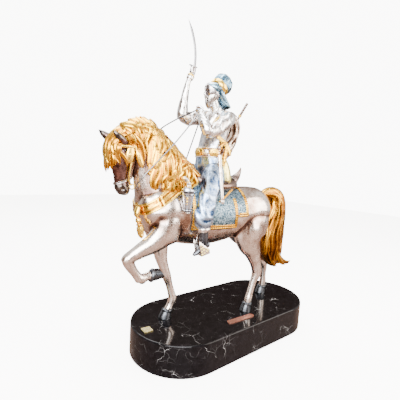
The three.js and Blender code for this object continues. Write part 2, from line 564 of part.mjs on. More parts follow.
// A short dagger thrust through the belt, with a hooked hilt
function dagger(grow = 0) {
  const rows = [[-3, -35, 56, 2.2, 2.4], [-2, -35, 63, 2.6, 3], [3, -34, 67, 2.8, 3.2], [8, -34, 64, 3, 3.4],
    [9, -35, 56, 3.2, 3.4], [7, -36, 46, 3.6, 3.8], [5, -37, 36, 3.2, 3.6], [3, -38, 24, 1.6, 2]];
  return limb(r(rows), { sides: 8, across: vec(0, 1, 0.3), grow });
}

const riderSolid = cut(join(riderParts), clothedTrunk, saddle(fitGap), horseHairRoom, sabre(fitGap), rifle(fitGap), scabbard(fitGap),
  dagger(fitGap));

// Tack

function breastCollar() {
  const slope = -28;
  const slice = block(-168 * horseScale, 0, 250 * horseScale, 130 * horseScale, 2 * reach, collarWidth, [0, slope, 0]);
  const rear = clothSlab(clothFront, 0, reach, clothTop, 6 * horseScale);
  const band = join(trunk(fitGap + collarThickness), foreQuarters(fitGap + collarThickness)).intersect(slice).subtract(rear);
  const drop = limb(h([[-205, -15, 233, 8, 4], [-208, -17, 224, 5, 4], [-206, -18, 216, 4, 4], [-205, -19, 208, 7, 5],
    [-203, -20, 195, 8, 5], [-201, -20.5, 183, 5.5, 4], [-200, -20.5, 176, 1.5, 1.5]]), { sides: 8 });
  return join(band, drop);
}
const collarSolid = cut(breastCollar(), horseRoom);

const bitPlace = (side) => turnRows(h([[-220, side * 13.5, 264]]))[0];
const ringRadius = 4.2 * horseScale;
const bitRing = (side, grow = 0) => fromGeometry(new THREE.TorusGeometry(ringRadius, strapThickness * 0.8 + grow, 5, 7)
  .rotateX(Math.PI / 2).translate(...bitPlace(side)));

function bridle() {
  const noseSlice = block(-232 * horseScale, 0, 273 * horseScale, 50 * horseScale, reach, strapWidth, [0, -12, 0]);
  const straps = (side) => [
    [[-220, side * 12, 266, 2.4, 3], [-226, side * 12, 275, 2.4, 3], [-223, side * 17, 320, 2.4, 3]],
    [[-229, side * 15.5, 301, 2, 3.5], [-229, side * 17.8, 310, 6.5, 3.4], [-228, side * 18, 320, 6.5, 3.4],
      [-227, side * 16.5, 330, 3, 3]],
    [[-258, side * 10, 333, 3, 3], [-246, side * 17, 335, 3.6, 3], [-218, side * 18.5, 329, 3, 3]],
    [[-221, side * 19, 331, 3.4, 3], [-217, side * 21.5, 314, 5, 4], [-210, side * 22, 293, 1.4, 1.4]]];
  const onSide = (side) => straps(side).map((rows) => limb(turnRows(h(rows)), { sides: 5, across: vec(1, 0, 0) }));
  return join(head(fitGap + strapThickness).intersect(noseSlice), onSide(-1), onSide(1), bitRing(-1), bitRing(1));
}
const bridleSolid = cut(bridle(), head(fitGap), trunk(fitGap), horseHairRoom, ear(-1, fitGap), ear(1, fitGap));

// A holster hangs on each side of the pommel, with a pistol in it
const holsterTop = (side) => h([[-132, side * 53, 262]])[0];

const mouthScale = holsterLength / 40; // the holster and pistol are carved for a length of 40

// Rows written from the holster's mouth
const fromMouth = (side, rows) => {
  const [x, y, z] = holsterTop(side);
  return rows.map(([dx, dy, dz, half, deep]) => [x + dx * mouthScale, y + dy * side * mouthScale, z + dz * mouthScale, half * mouthScale, deep * mouthScale]);
};

function holster(side) {
  const pouch = limb(fromMouth(side, [[0, 0, 0, 7, 8.5], [-1, 1, -3, 9.5, 11], [0, 0, -8, 8, 9], [0, 0, -33.6, 5, 5.4],
    [0, 0, -35.2, 6.4, 6.8], [0, 0, -40, 5.6, 6]]), { sides: 8 });
  const strap = limb(fromMouth(side, [[2, -2, -6, 7, 4], [6, -16, 6, 7, 4], [10, -32, 16, 6, 3]]),
    { sides: 8, across: vec(1, 0, 0) });
  return cut(join(pouch, strap), horseHairRoom, foreQuarters(fitGap), clothedTrunk, saddle(fitGap),
    pistol(side, fitGap));
}

function pistol(side, grow = 0) {
  return limb(fromMouth(side, [[0, 0, -6, 3, 4], [0, 0, 6, 3.6, 5], [-1, 0, 13, 3.4, 4.2], [-6, 0, 19, 3.4, 3.8],
    [-11, 0, 21, 3.8, 4], [-14, 0, 21, 2, 2]]), { sides: 8, grow });
}

// A stirrup: two tapered cheek plates on a slanted treadle, and the leather up under the cloth
function stirrup(side) {
  const [fx, fy, fz] = at(...fromAnkle(side, -6, 0.5, -6));
  const half = 8.4 * riderScale;
  const k = riderScale;
  const outline = [[-13, 17], [-6, -11.5], [12, -7.5], [10, 1.5]].map(([x, z]) => [fx + x * k, fz + z * k]);
  const cheek = (way) => {
    const y = fy + way * (half + stirrupPlate / 2);
    return sidePrism(outline, y - stirrupPlate / 2, y + stirrupPlate / 2);
  };
  const tread = block(fx + 3 * k, fy, fz - 9.2 * k, 17 * k, 2 * half + stirrupPlate, stirrupPlate, [0, -12, 0]);
  const y = fy - side * (half + stirrupPlate / 2);
  const leather = limb([[fx - 6 * k, y, fz + 8 * k, k, 2.5 * k], [fx - 2 * k, y, fz + 26 * k, k, 2.5 * k],
    [fx, y + side * 3 * k, fz + 44 * k, k, 2.5 * k]], { sides: 6 });
  return cut(join(cheek(-1), cheek(1), tread, leather), leg(side, fitGap), clothedTrunk);
}
// Reins of stiff drawn wire, from the left fist
function wire(points) {
  const curve = new THREE.CatmullRomCurve3(points.map((p) => vec(...p)));
  const radius = reinDiameter / 2;
  const section = new THREE.Shape(Array.from({ length: 6 }, (_, i) => new THREE.Vector2(
    radius * Math.cos((i * Math.PI) / 3), radius * Math.sin((i * Math.PI) / 3))));
  return fromGeometry(new THREE.ExtrudeGeometry(section,
    { extrudePath: curve, steps: points.length * 2, bevelEnabled: false }));
}
const reinRing = (side) => {
  const [x, y, z] = bitPlace(side);
  return [x + ringRadius, y + side * 2.5 * horseScale, z - 1.5 * horseScale];
};
const handRoom = [leftFist(fitGap), thumb(fitGap), leftForearm(fitGap)];
const reins = {
  near: wire([at(-45, -22, 121), ...h([[-150, -32, 343], [-203, -31, 286]]), reinRing(-1)]),
  far: wire([at(-47, -16, 124), ...h([[-128, 10, 388], [-157, 25, 364], [-190, 33, 322], [-212, 27, 284]]), reinRing(1)]),
  end: wire([at(-43, -24, 118), ...h([[-94, 4, 312]])]),
};

const group = new THREE.Group();
const figure = new THREE.Group();
figure.position.set(horseX, horseY, plinthHeight);
figure.rotation.z = radians(-horseTurn);
group.add(figure);

const finishes = {
  marble: new THREE.MeshStandardMaterial({ color: 0x17171a, roughness: 0.1, metalness: 0 }),
  copper: new THREE.MeshStandardMaterial({ color: 0xb47a62, roughness: 0.35, metalness: 1 }),
  paleGilt: new THREE.MeshStandardMaterial({ color: 0xd8cfa2, roughness: 0.35, metalness: 1 }),
  silver: new THREE.MeshStandardMaterial({ color: 0xd3c7c0, roughness: 0.3, metalness: 1 }),
  gilt: new THREE.MeshStandardMaterial({ color: 0xdda032, roughness: 0.3, metalness: 1 }),
  blue: new THREE.MeshStandardMaterial({ color: 0x7d93ad, roughness: 0.45, metalness: 0.4 }),
  dark: new THREE.MeshStandardMaterial({ color: 0x3c3a3e, roughness: 0.4, metalness: 0.8 }),
};

function add(parent, name, solid, finish) {
  const mesh = new THREE.Mesh(toGeometry(solid), finishes[finish]);
  mesh.name = name;
  parent.add(mesh);
}

// The plinth's outline, drawn "inset" inside its real edge
function plinthShape(inset) {
  const radius = plinthWidth / 2 - inset;
  const half = plinthLength / 2 - plinthWidth / 2;
  const shape = [];
  for (let i = 0; i <= plinthArcSteps; i++) {
    const angle = -Math.PI / 2 + (Math.PI * i) / plinthArcSteps;
    shape.push([half + radius * Math.cos(angle), radius * Math.sin(angle)]);
  }
  return [...shape, ...shape.map(([x, y]) => [-x, -y])];
}
const plinthSolid = skin([[plinthEdge, 0], [0, plinthEdge], [0, plinthHeight - plinthEdge], [plinthEdge, plinthHeight]]
  .map(([inset, z]) => plinthShape(inset).map(([x, y]) => vec(x, y, z))));
add(group, 'plinth', plinthSolid, 'marble');

const nameplateShape = new THREE.Shape();
const plateEnd = nameplateLength / 2 - nameplateWidth / 2;
nameplateShape.absarc(plateEnd, 0, nameplateWidth / 2, -Math.PI / 2, Math.PI / 2);
nameplateShape.absarc(-plateEnd, 0, nameplateWidth / 2, Math.PI / 2, (3 * Math.PI) / 2);
const nameplate = new THREE.ExtrudeGeometry(nameplateShape,
  { depth: nameplateThickness, bevelEnabled: false, curveSegments: 8 });
nameplate.rotateZ(radians(nameplateTurn));
nameplate.translate(nameplateX, nameplateInset - plinthWidth / 2, plinthHeight + fitGap);
add(group, 'name_plate', fromGeometry(nameplate), 'copper');
const plaqueX = cornerPlaqueInset - plinthLength / 2;
const plaqueZ = plinthHeight + fitGap + cornerPlaqueThickness / 2;
add(group, 'corner_plaque', block(plaqueX, cornerPlaqueY, plaqueZ,
  cornerPlaqueSide, cornerPlaqueSide, cornerPlaqueThickness, [0, 0, nameplateTurn]), 'paleGilt');

add(figure, 'horse', horseSolid, 'silver');
add(figure, 'bridle', bridleSolid, 'gilt');
add(figure, 'breast_collar', collarSolid, 'gilt');
add(figure, 'saddle_cloth', clothSolid, 'blue');
add(figure, 'saddle', saddleSolid, 'dark');
add(figure, 'rider', riderSolid, 'silver');
add(figure, 'sabre', sabre(), 'silver');
add(figure, 'rifle', rifle(), 'dark');
add(figure, 'scabbard', scabbard(), 'silver');
add(figure, 'dagger', dagger(), 'gilt');
for (const [side, name] of [[-1, 'left'], [1, 'right']]) {
  add(figure, `holster_${name}`, holster(side), 'blue');
  add(figure, `pistol_${name}`, cut(pistol(side), horseHairRoom), 'silver');
  add(figure, `stirrup_${name}`, stirrup(side), 'silver');
}
for (const [name, rein] of Object.entries(reins)) {
  add(figure, `rein_${name}`, cut(rein, handRoom, bitRing(-1, fitGap), bitRing(1, fitGap), saddle(fitGap)), 'dark');
}

export default group;
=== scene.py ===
# %% [markdown]
# This lesson dresses an equestrian statuette: a horseman with a raised sabre on a stepping
# horse, cast in metal, silvered and gilt, on a polished marble plinth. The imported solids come
# first. They are the fixed frame, and nothing in it is moved.
# %% Load the frame
import math

import bmesh
import bpy
import numpy as np
from mathutils import Matrix


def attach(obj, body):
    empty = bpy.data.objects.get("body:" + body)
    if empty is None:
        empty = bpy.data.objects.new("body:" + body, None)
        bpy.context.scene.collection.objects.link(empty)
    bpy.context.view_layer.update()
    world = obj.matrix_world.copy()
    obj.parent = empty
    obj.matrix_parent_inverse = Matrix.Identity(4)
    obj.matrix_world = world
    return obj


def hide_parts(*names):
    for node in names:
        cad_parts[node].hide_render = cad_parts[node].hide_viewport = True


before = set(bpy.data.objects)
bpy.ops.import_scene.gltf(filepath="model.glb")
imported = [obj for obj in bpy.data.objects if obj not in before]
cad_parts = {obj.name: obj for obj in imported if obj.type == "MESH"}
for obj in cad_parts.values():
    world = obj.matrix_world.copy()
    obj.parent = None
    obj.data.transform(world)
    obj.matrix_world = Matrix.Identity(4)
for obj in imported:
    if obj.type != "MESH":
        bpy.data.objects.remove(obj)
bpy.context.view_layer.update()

# %% [markdown]
# All shapes are written in millimetres in the horse's own frame: x runs to the tail, y to the
# horse's right, z up from the plinth's top. One function then puts points where the casting
# stands on its plinth. The rider is written from the seat in the same way, and most of what
# comes in pairs is written once, for the right side.
# %% Frames
MM = 0.001
PLINTH_TOP = 60.0
HORSE_AT = np.array([-20.0, -10.0, PLINTH_TOP])
HORSE_TURN = math.radians(-4.5)
SEAT = np.array([-50.0, 0.0, 284.0])


def spun(points, angle):
    """Points turned about the upright axis: (x cos a - y sin a, x sin a + y cos a, z)."""
    x, y, z = np.moveaxis(np.asarray(points, float), -1, 0)
    c, s = math.cos(angle), math.sin(angle)
    return np.stack([x * c - y * s, x * s + y * c, z], -1)


def place(points):
    """Horse frame in mm to the row's frame in m: turned, moved and scaled."""
    return (spun(points, HORSE_TURN) + HORSE_AT) * MM


def placed_back(points):
    """The row's frame in mm to the horse frame."""
    return spun(np.asarray(points, float) - HORSE_AT, -HORSE_TURN)


def shifted(rows, by, side=1):
    """Rows with y times side, and then with their places, the first three numbers, moved."""
    rows = np.array(rows, float)
    rows[:, 1] *= side
    rows[:, :3] += by
    return rows


def from_seat(rows, side=1):
    """Rows written from the seat, moved to the horse frame."""
    return shifted(rows, SEAT, side)


print("the seat stands at", place(SEAT).round(4), "m")


# %% [markdown]
# A casting's limb is a profile carried along a path. Few rows of numbers are enough if a
# curve passes through them: each row gives a place and the section's two half-axes there.
# %% Surfaces from rows of numbers
def finer(rows, steps):
    """Catmull-Rom: between rows p1 and p2 the value is the cubic through both, with the slope
    (p2 - p0) / 2 at p1 and (p3 - p1) / 2 at p2."""
    rows = np.asarray(rows, float)
    q = np.vstack([rows[:1], rows, rows[-1:]])
    p0, p1, p2, p3 = q[:-3], q[1:-2], q[2:-1], q[3:]
    t = np.linspace(0, 1, steps, endpoint=False)[:, None, None]
    curve = p1 + 0.5 * t * (p2 - p0 + t * (2 * p0 - 5 * p1 + 4 * p2 - p3 + t * (3 * (p1 - p2) + p3 - p0)))
    return np.vstack([curve.transpose(1, 0, 2).reshape(-1, rows.shape[1]), rows[-1:]])


def unit(v):
    """Each vector divided by its length."""
    return v / np.maximum(np.linalg.norm(v, axis=-1, keepdims=True), 1e-9)


def limb(rows, around=24, across=(0, 1, 0), steps=5, fold=None, grow=0.0):
    """Rings c + w cos(a) s + d sin(a) n: s is 'across' made square to the path, n square to both,
    w and d the row's half-axes, all times fold(angle, how far along)."""
    fine = finer(rows, steps)
    centre, w, d = fine[:, :3], fine[:, 3, None] + grow, fine[:, 4, None] + grow
    t = unit(np.gradient(centre, axis=0))
    a = np.asarray(across, float)
    s = unit(a - (t @ a)[:, None] * t)
    n = np.cross(t, s)
    angle = np.linspace(0, 2 * math.pi, around, endpoint=False)[None]
    along = np.linspace(0, 1, len(fine))[:, None]
    k = np.ones((len(fine), around)) if fold is None else fold(angle, along)
    return (centre[:, None] + (k * w * np.cos(angle))[..., None] * s[:, None]
            + (k * d * np.sin(angle))[..., None] * n[:, None])


def ribbed(depth, about, down=0.0):
    """A fold for limb(): 1 + depth cos(about a + down t), ribs that run down it, round it or both."""
    return lambda a, t: 1 + depth * np.cos(about * a + down * t)


def profile(rows, around=28, steps=5, grow=0.0):
    """Rings of a form drawn in side view: (x1, z1) and (x2, z2) on its two edges, and its half
    width; the ring is centre + half cos(a) y + deep sin(a)."""
    fine = finer(rows, steps)
    low, high, half = fine[:, [0, 1]], fine[:, [2, 3]], fine[:, 4, None] + grow
    centre, deep = (low + high) / 2, (high - low) / 2
    deep = deep + unit(deep) * grow
    angle = np.linspace(0, 2 * math.pi, around, endpoint=False)[None]
    x = centre[:, :1] + deep[:, :1] * np.sin(angle)
    z = centre[:, 1:] + deep[:, 1:] * np.sin(angle)
    return np.stack([x, half * np.cos(angle), z], -1)


def closed_faces(rings, around):
    """Quads between neighbouring rings, and a fan to an added middle point at each end."""
    i = np.arange(rings - 1)[:, None] * around
    a = np.arange(around)
    b = (a + 1) % around
    quads = np.stack([i + a, i + b, i + b + around, i + a + around], -1).reshape(-1, 4)
    low, high, last = rings * around, rings * around + 1, (rings - 1) * around
    fans = [np.stack([np.full(around, low), b, a], -1),
            np.stack([np.full(around, high), last + a, last + b], -1)]
    return quads.tolist() + np.vstack(fans).tolist()


def grid_mesh(rings):
    """Points and faces of one closed skin from its rings."""
    points = np.vstack([rings.reshape(-1, 3), rings[0].mean(0)[None], rings[-1].mean(0)[None]])
    return points, closed_faces(*rings.shape[:2])


def gather(parts):
    """Several skins as one list of points and one of faces."""
    points, faces, base = [], [], 0
    for part, own in parts:
        points.append(part)
        faces += [[v + base for v in f] for f in own]
        base += len(part)
    return np.vstack(points), faces


def skins(grids):
    """Points and faces of several closed skins given as rings."""
    return gather([grid_mesh(g) for g in grids])


print("a limb of 3 rows has", limb([[0, 0, 0, 1, 1], [0, 0, 1, 1, 1], [0, 0, 2, 1, 1]]).shape, "points")


# %% [markdown]
# A finished piece is a mesh at the origin that rides on the one body and stands for its CAD
# node, which it hides. The sculptor's way to join limbs without a seam is clay:
# all limbs are merged by a fine voxel remesh and smoothed, and only then carved.
# %% Making pieces
def new_object(name, points, faces):
    """A mesh object from points in the horse frame."""
    mesh = bpy.data.meshes.new(name)
    mesh.from_pydata(place(points).tolist(), [], faces)
    made = bpy.data.objects.new(name, mesh)
    bpy.context.scene.collection.objects.link(made)
    return made


def smooth(made):
    """Smooth shading on every face."""
    made.data.polygons.foreach_set("use_smooth", [True] * len(made.data.polygons))


def outward(mesh):
    """Face normals of closed shells turned outward."""
    work = bmesh.new()
    work.from_mesh(mesh)
    bmesh.ops.recalc_face_normals(work, faces=work.faces)
    work.to_mesh(mesh)
    work.free()


def settle(made, node_name, material):
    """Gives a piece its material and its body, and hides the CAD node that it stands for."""
    made.data.materials.append(material)
    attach(made, "root")
    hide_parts(node_name)
    return made


def piece(name, points, faces, node_name, slot, material):
    """A finished piece from points in the horse frame."""
    made = new_object(name, points, faces)
    made.data.validate()
    smooth(made)
    outward(made.data)
    return settle(made, node_name, material)


def applied(made):
    """Works the piece's modifiers into its mesh."""
    bpy.context.view_layer.update()
    graph = bpy.context.evaluated_depsgraph_get()
    done = bpy.data.meshes.new_from_object(made.evaluated_get(graph))
    made.modifiers.clear()
    old, name = made.data, made.data.name
    made.data = done
    bpy.data.meshes.remove(old)
    done.name = name


def clay(name, grids, voxel, rounds):
    """Skins joined by a voxel remesh of that size in mm, then smoothed; returns the object."""
    made = new_object(name, *skins(grids))
    remesh = made.modifiers.new("remesh", "REMESH")
    remesh.mode = "VOXEL"
    remesh.voxel_size = voxel * MM
    soft = made.modifiers.new("soft", "SMOOTH")
    soft.factor = 0.6
    soft.iterations = rounds
    applied(made)
    smooth(made)
    return made


def read_points(made):
    """The piece's points in the horse frame, and its normals turned the same way."""
    raw = np.empty(len(made.data.vertices) * 3)
    made.data.vertices.foreach_get("co", raw)
    points = placed_back(raw.reshape(-1, 3) / MM)
    made.data.vertices.foreach_get("normal", raw)
    return points, spun(raw.reshape(-1, 3), -HORSE_TURN)


def write_points(made, points):
    """Puts points of the horse frame back into the mesh."""
    made.data.vertices.foreach_set("co", place(points).ravel())
    made.data.update()


def carve(points, normals, spots):
    """Each spot (x, y, z, rx, ry, rz, rise) adds rise * exp(-|(p - c) / r|^2) along the normal."""
    rise = np.zeros(len(points))
    for *centre, rx, ry, rz, high in spots:
        gone = ((points - centre) / [rx, ry, rz]) ** 2
        rise += high * np.exp(-gone.sum(1))
    return points + normals * rise[:, None]


def both(spots):
    """The same spots on both sides of the middle plane."""
    return spots + [[x, -y, *rest] for x, y, *rest in spots]


def paint(made, name, values):
    """A number per point that a material can read."""
    layer = made.data.attributes.new(name, "FLOAT", "POINT")
    layer.data.foreach_set("value", np.asarray(values, np.float32))


def hollows(made, rounds=3):
    """How deep each point lies below the mean of its neighbours, in mm, smoothed: the finishes paint shade
    where it is deep and a highlight where it is below zero."""
    count = len(made.data.vertices)
    edges = np.empty(len(made.data.edges) * 2, np.int64)
    made.data.edges.foreach_get("vertices", edges)
    a, b = edges.reshape(-1, 2).T
    p, n = read_points(made)
    near = np.bincount(a, minlength=count) + np.bincount(b, minlength=count)

    def spread(v):
        total = [np.bincount(a, v[b, i], count) + np.bincount(b, v[a, i], count)
                 for i in range(v.shape[1])]
        return np.stack(total, 1) / np.maximum(near, 1)[:, None]

    mean = p
    for _ in range(rounds * 4):
        mean = spread(mean)
    deep = ((mean - p) * n).sum(1)[:, None]
    for _ in range(rounds):
        deep = spread(deep)
    return deep[:, 0]


def solid(name, grids, node_name, slot, material):
    """One piece from several skins, with its hollow number."""
    made = piece(name, *skins(grids), node_name, slot, material)
    paint(made, "hollow", hollows(made, 1))
    return made


def flat(value):
    """sRGB hex to linear RGBA: below 0.04045 it is c / 12.92, above ((c + 0.055) / 1.055)^2.4."""
    c = np.array([int(value[i:i + 2], 16) for i in (1, 3, 5)]) / 255
    return tuple(np.where(c <= 0.04045, c / 12.92, ((c + 0.055) / 1.055) ** 2.4)) + (1.0,)


print("silver in linear light:", [round(v, 3) for v in flat("#cfc6c0")])


# %% [markdown]
# Finishes. Every metal here is one casting alloy under a different skin: silver plate left
# warm, fire gilding, a blue-grey patina and a dark one. What tells the eye that they are
# metal is contrast, and part of it is painted into the colour: painted highlights on the high
# spots, and painted shade, darker and browner, in the hollows. So each finish reads a "hollow"
# number that each piece carries, and turns it into that painted shade and highlight.
# %% A node helper and the metals
def node(tree, kind, settings=None, stops=(), **inputs):
    """Adds a node; its inputs are set from numbers or linked from other nodes' outputs, and stops of
    place and hex fill a colour ramp."""
    made = tree.nodes.new(kind)
    for key, value in (settings or {}).items():
        setattr(made, key, value)
    for _ in stops[2:]:
        made.color_ramp.elements.new(0.5)
    for i, (at, colour) in enumerate(stops):
        made.color_ramp.elements[i].position = at
        made.color_ramp.elements[i].color = flat(colour)
    for key, value in inputs.items():
        socket = made.inputs[int(key[1:]) if key[0] == "i" and key[1:].isdigit() else key.replace("_", " ")]
        if isinstance(value, bpy.types.NodeSocket):
            tree.links.new(value, socket)
        else:
            socket.default_value = value
    return made


# settings that many nodes share
TIMES, TIMES_PLUS, GREATER = ({"operation": kind} for kind in ("MULTIPLY", "MULTIPLY_ADD", "MAXIMUM"))
COLOURS = {"data_type": "RGBA"}


def new_material(name, metallic, roughness):
    """A material with its shader's constant values set on the shader itself."""
    made = bpy.data.materials.new(name)
    made.use_nodes = True
    shader = made.node_tree.nodes["Principled BSDF"]
    shader.inputs["Metallic"].default_value = metallic
    shader.inputs["Roughness"].default_value = roughness
    return made, made.node_tree, shader


def mottled(name, metallic, roughness, cell_mm, stops):
    """A material whose colour is a noise of that size through a ramp; returns it with its tree,
    its shader and the ramp's colour."""
    made, tree, shader = new_material(name, metallic, roughness)
    where = node(tree, "ShaderNodeTexCoord").outputs["Object"]
    cells = node(tree, "ShaderNodeTexNoise", Vector=where, Scale=1 / (cell_mm * MM))
    tone = node(tree, "ShaderNodeValToRGB", stops=stops, i0=cells.outputs["Fac"]).outputs[0]
    tree.links.new(tone, shader.inputs["Base Color"])
    return made, tree, shader, tone


def metal(name, deep, middle, bright, roughness, grain_mm=2.4, grain=0.18, hollow_mm=0.5,
          cloud_mm=14.0, cloudy=0.5):
    """Colour from the hollow number plus a cloudy noise: the deep colour is painted shade in the
    hollows, the bright one a painted highlight on the high spots, and hollow_mm sets how deep a
    hollow must be for the full shade. A finer noise varies the roughness and gives the small
    dents of a hand-finished casting."""
    made, tree, shader = new_material(name, 1.0, roughness)
    where = node(tree, "ShaderNodeTexCoord").outputs["Object"]
    depth = node(tree, "ShaderNodeAttribute", {"attribute_name": "hollow"}).outputs["Fac"]
    cloud = node(tree, "ShaderNodeTexNoise", Vector=where, Scale=1 / (cloud_mm * MM), Detail=5.0,
                 Roughness=0.6)
    level = node(tree, "ShaderNodeMath", TIMES_PLUS, i0=depth, i1=-0.5 / hollow_mm, i2=0.5)
    mixed = node(tree, "ShaderNodeMath", TIMES_PLUS, i0=cloud.outputs["Fac"], i1=cloudy, i2=level.outputs[0])
    shade = node(tree, "ShaderNodeMath", {"operation": "SUBTRACT", "use_clamp": True},
                 i0=mixed.outputs[0], i1=cloudy / 2)
    colour = node(tree, "ShaderNodeValToRGB", stops=[(0.12, deep), (0.42, middle), (0.78, bright)],
                  i0=shade.outputs[0])
    tree.links.new(colour.outputs[0], shader.inputs["Base Color"])
    fine = node(tree, "ShaderNodeTexNoise", Vector=where, Scale=1 / (grain_mm * MM), Detail=3.0)
    rough = node(tree, "ShaderNodeMapRange", i0=fine.outputs["Fac"], i1=0.3, i2=0.7,
                 i3=roughness - 0.08, i4=roughness + 0.12)
    tree.links.new(rough.outputs[0], shader.inputs["Roughness"])
    dents = node(tree, "ShaderNodeBump", Strength=grain, Distance=0.4 * MM, Height=fine.outputs["Fac"])
    tree.links.new(dents.outputs[0], shader.inputs["Normal"])
    return made


# warm silver plate on the horse: painted white highlights on the high spots, tan flats, painted brown shade
# in the hollows
SILVER = metal("silver_plate", "#55403a", "#a88b7a", "#fff6ee", 0.22,
               hollow_mm=0.55, cloud_mm=17.0, cloudy=0.95)
# whiter plate on the shirt, so that it parts from the horse; painted brown shade darkens its folds
LINEN = metal("white_silver", "#46291c", "#b8a69b", "#ffffff", 0.27,
              hollow_mm=0.27, cloud_mm=8.0, cloudy=0.6)
# greyer plate on the rider's face and hands
FLESH = metal("grey_silver", "#262022", "#837a7b", "#ecebee", 0.27,
              hollow_mm=0.3, cloud_mm=6.0, cloudy=0.8)
# browner plate on the cloak, left duller by the burnisher
TAN = metal("brown_silver", "#1c0f08", "#5f4838", "#cdb8a6", 0.32,
            hollow_mm=0.35, cloud_mm=8.0, cloudy=0.9)
# fire gilding on the mane, the rope and the dagger: a painted pale yellow highlight on the ridges, painted
# amber shade in the grooves
GILT = metal("fire_gilding", "#6a3402", "#ba7710", "#ffcd3e", 0.26,
             hollow_mm=1.1, cloud_mm=24.0, cloudy=0.9)
# browner gilding on the tail
TAIL_GILT = metal("brown_gilding", "#3c1e04", "#88500c", "#eeb434", 0.26,
                  hollow_mm=1.1, cloud_mm=26.0, cloudy=1.0)
# thinner gilding on straps and buckles, with red-brown painted shade in the chased lines
PALE_GILT = metal("pale_gilding", "#5e3008", "#c98a1c", "#ffd456", 0.26, hollow_mm=0.32)
# pale yellow gilding on the sash and the stirrups' diamonds
SASH_GILT = metal("yellow_gilding", "#7a5a08", "#d9b63c", "#ffee8c", 0.3, hollow_mm=0.4)
# blue-grey patina on the trousers, blotched at 5 mm as if sponged on
BLUE = metal("blue_patina", "#070d1b", "#3e5b85", "#b4cbe7", 0.3,
             hollow_mm=0.3, cloud_mm=5.0, cloudy=0.9)
# the head cloth is bluer and darker
HAT_BLUE = metal("deep_blue_patina", "#040a12", "#214763", "#8bb0c4", 0.3,
                 hollow_mm=0.4, cloud_mm=5.0, cloudy=1.0)
# the saddle cloth's paler blue-grey, with a 1.6 mm grain like woven stuff
CLOTH_BLUE = metal("cloth_patina", "#0f1b25", "#3d5766", "#a6bcc8", 0.4,
                   grain_mm=1.6, grain=0.9, hollow_mm=0.6, cloud_mm=2.4, cloudy=2.2)
# gunmetal on the holsters, with a painted highlight on the edges
GUNMETAL = metal("gunmetal", "#030407", "#272b34", "#c6ceda", 0.24,
                 hollow_mm=0.22, cloud_mm=4.0, cloudy=0.7)
# lead grey, mottled at 5 mm, on the vest
NIELLO = metal("grey_patina", "#333641", "#9fa2ae", "#fafbfd", 0.3,
               hollow_mm=0.4, cloud_mm=5.0, cloudy=1.0)
# black patina on the boots
BLACK = metal("black_patina", "#020203", "#17181c", "#62666d", 0.3, hollow_mm=0.3)
# dark liver-brown patina on the saddle and the rifle's rings
DARK = metal("dark_patina", "#080403", "#2a1b15", "#7d675c", 0.3)
# steel grey on the beard, the noseband, the rifle and the pistols' grips
STEEL = metal("burnished_steel", "#1f1b1b", "#6c6664", "#d2cdc9", 0.24, hollow_mm=0.35)
# darker satin steel on the sabre's blade and the near rein
BLADE = metal("sabre_steel", "#101012", "#37373a", "#8f8f92", 0.32, hollow_mm=0.35)
# blued, worn hooves
HORN = metal("dark_hoof", "#030304", "#131518", "#505358", 0.3)
# a copper name plate, satin, warm pink
COPPER = metal("satin_copper", "#6b3a2c", "#b87c69", "#dca794", 0.38,
               grain_mm=1.0, grain=0.12, cloud_mm=5.0, cloudy=0.4)
# a small plaque in pale gold, its blank face mottled
PLAQUE = metal("plaque_gold", "#5d5132", "#b5a468", "#f0e6b8", 0.34,
               grain_mm=1.0, grain=0.3, cloud_mm=2.5, cloudy=0.9)
# blackened wire on the other two reins and the holsters' bands, hardly shiny
WIRE = mottled("blackened_wire", 0.2, 0.4, 3, [(0.3, "#08080a"), (0.8, "#2b2728")])[0]
for name, finish in (("name_plate", COPPER), ("corner_plaque", PLAQUE)):
    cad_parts[name].data.materials.clear()
    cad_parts[name].data.materials.append(finish)
print("finishes:", [m.name for m in bpy.data.materials])

# %% [markdown]
# The horse's body. A real model-maker would build it on a wire armature: a barrel, a neck,
# a head and four legs, each a few sections. The rows are the same ones that the solid has,
# and the curve through them is smoother than its facets.
# %% The horse's rows
BARREL = [
    [-201, 216, -204, 236, 13], [-193, 197, -199, 252, 30], [-174, 178, -176, 268, 43],
    [-140, 163, -140, 278, 47], [-98, 154, -98, 277, 49], [-54, 151, -54, 267, 51],
    [-10, 157, -10, 264, 51], [34, 169, 34, 268, 49], [70, 174, 70, 267, 45.5],
    [93, 181, 93, 256, 36], [105, 194, 104, 240, 24], [108, 207, 108, 228, 11]]
NECK = [
    [-190, 200, -66, 262, 40], [-204, 234, -98, 286, 32], [-208, 258, -126, 307, 26],
    [-211, 281, -150, 330, 21.5], [-214, 300, -174, 349, 18], [-224, 318, -199, 361, 16],
    [-240, 334, -224, 362, 12]]
HEAD = [
    [-246, 353, -222, 345, 11], [-256, 340, -211, 332, 15], [-259, 325, -206, 318, 17],
    [-257, 310, -206, 301, 16], [-252, 296, -210, 288, 12.5], [-248, 282, -215, 277, 9.6],
    [-245, 268, -217.5, 267, 9.2], [-243, 259, -217, 258, 10.4], [-238, 251.5, -219, 251.5, 8.6],
    [-232, 249, -224, 249, 4]]
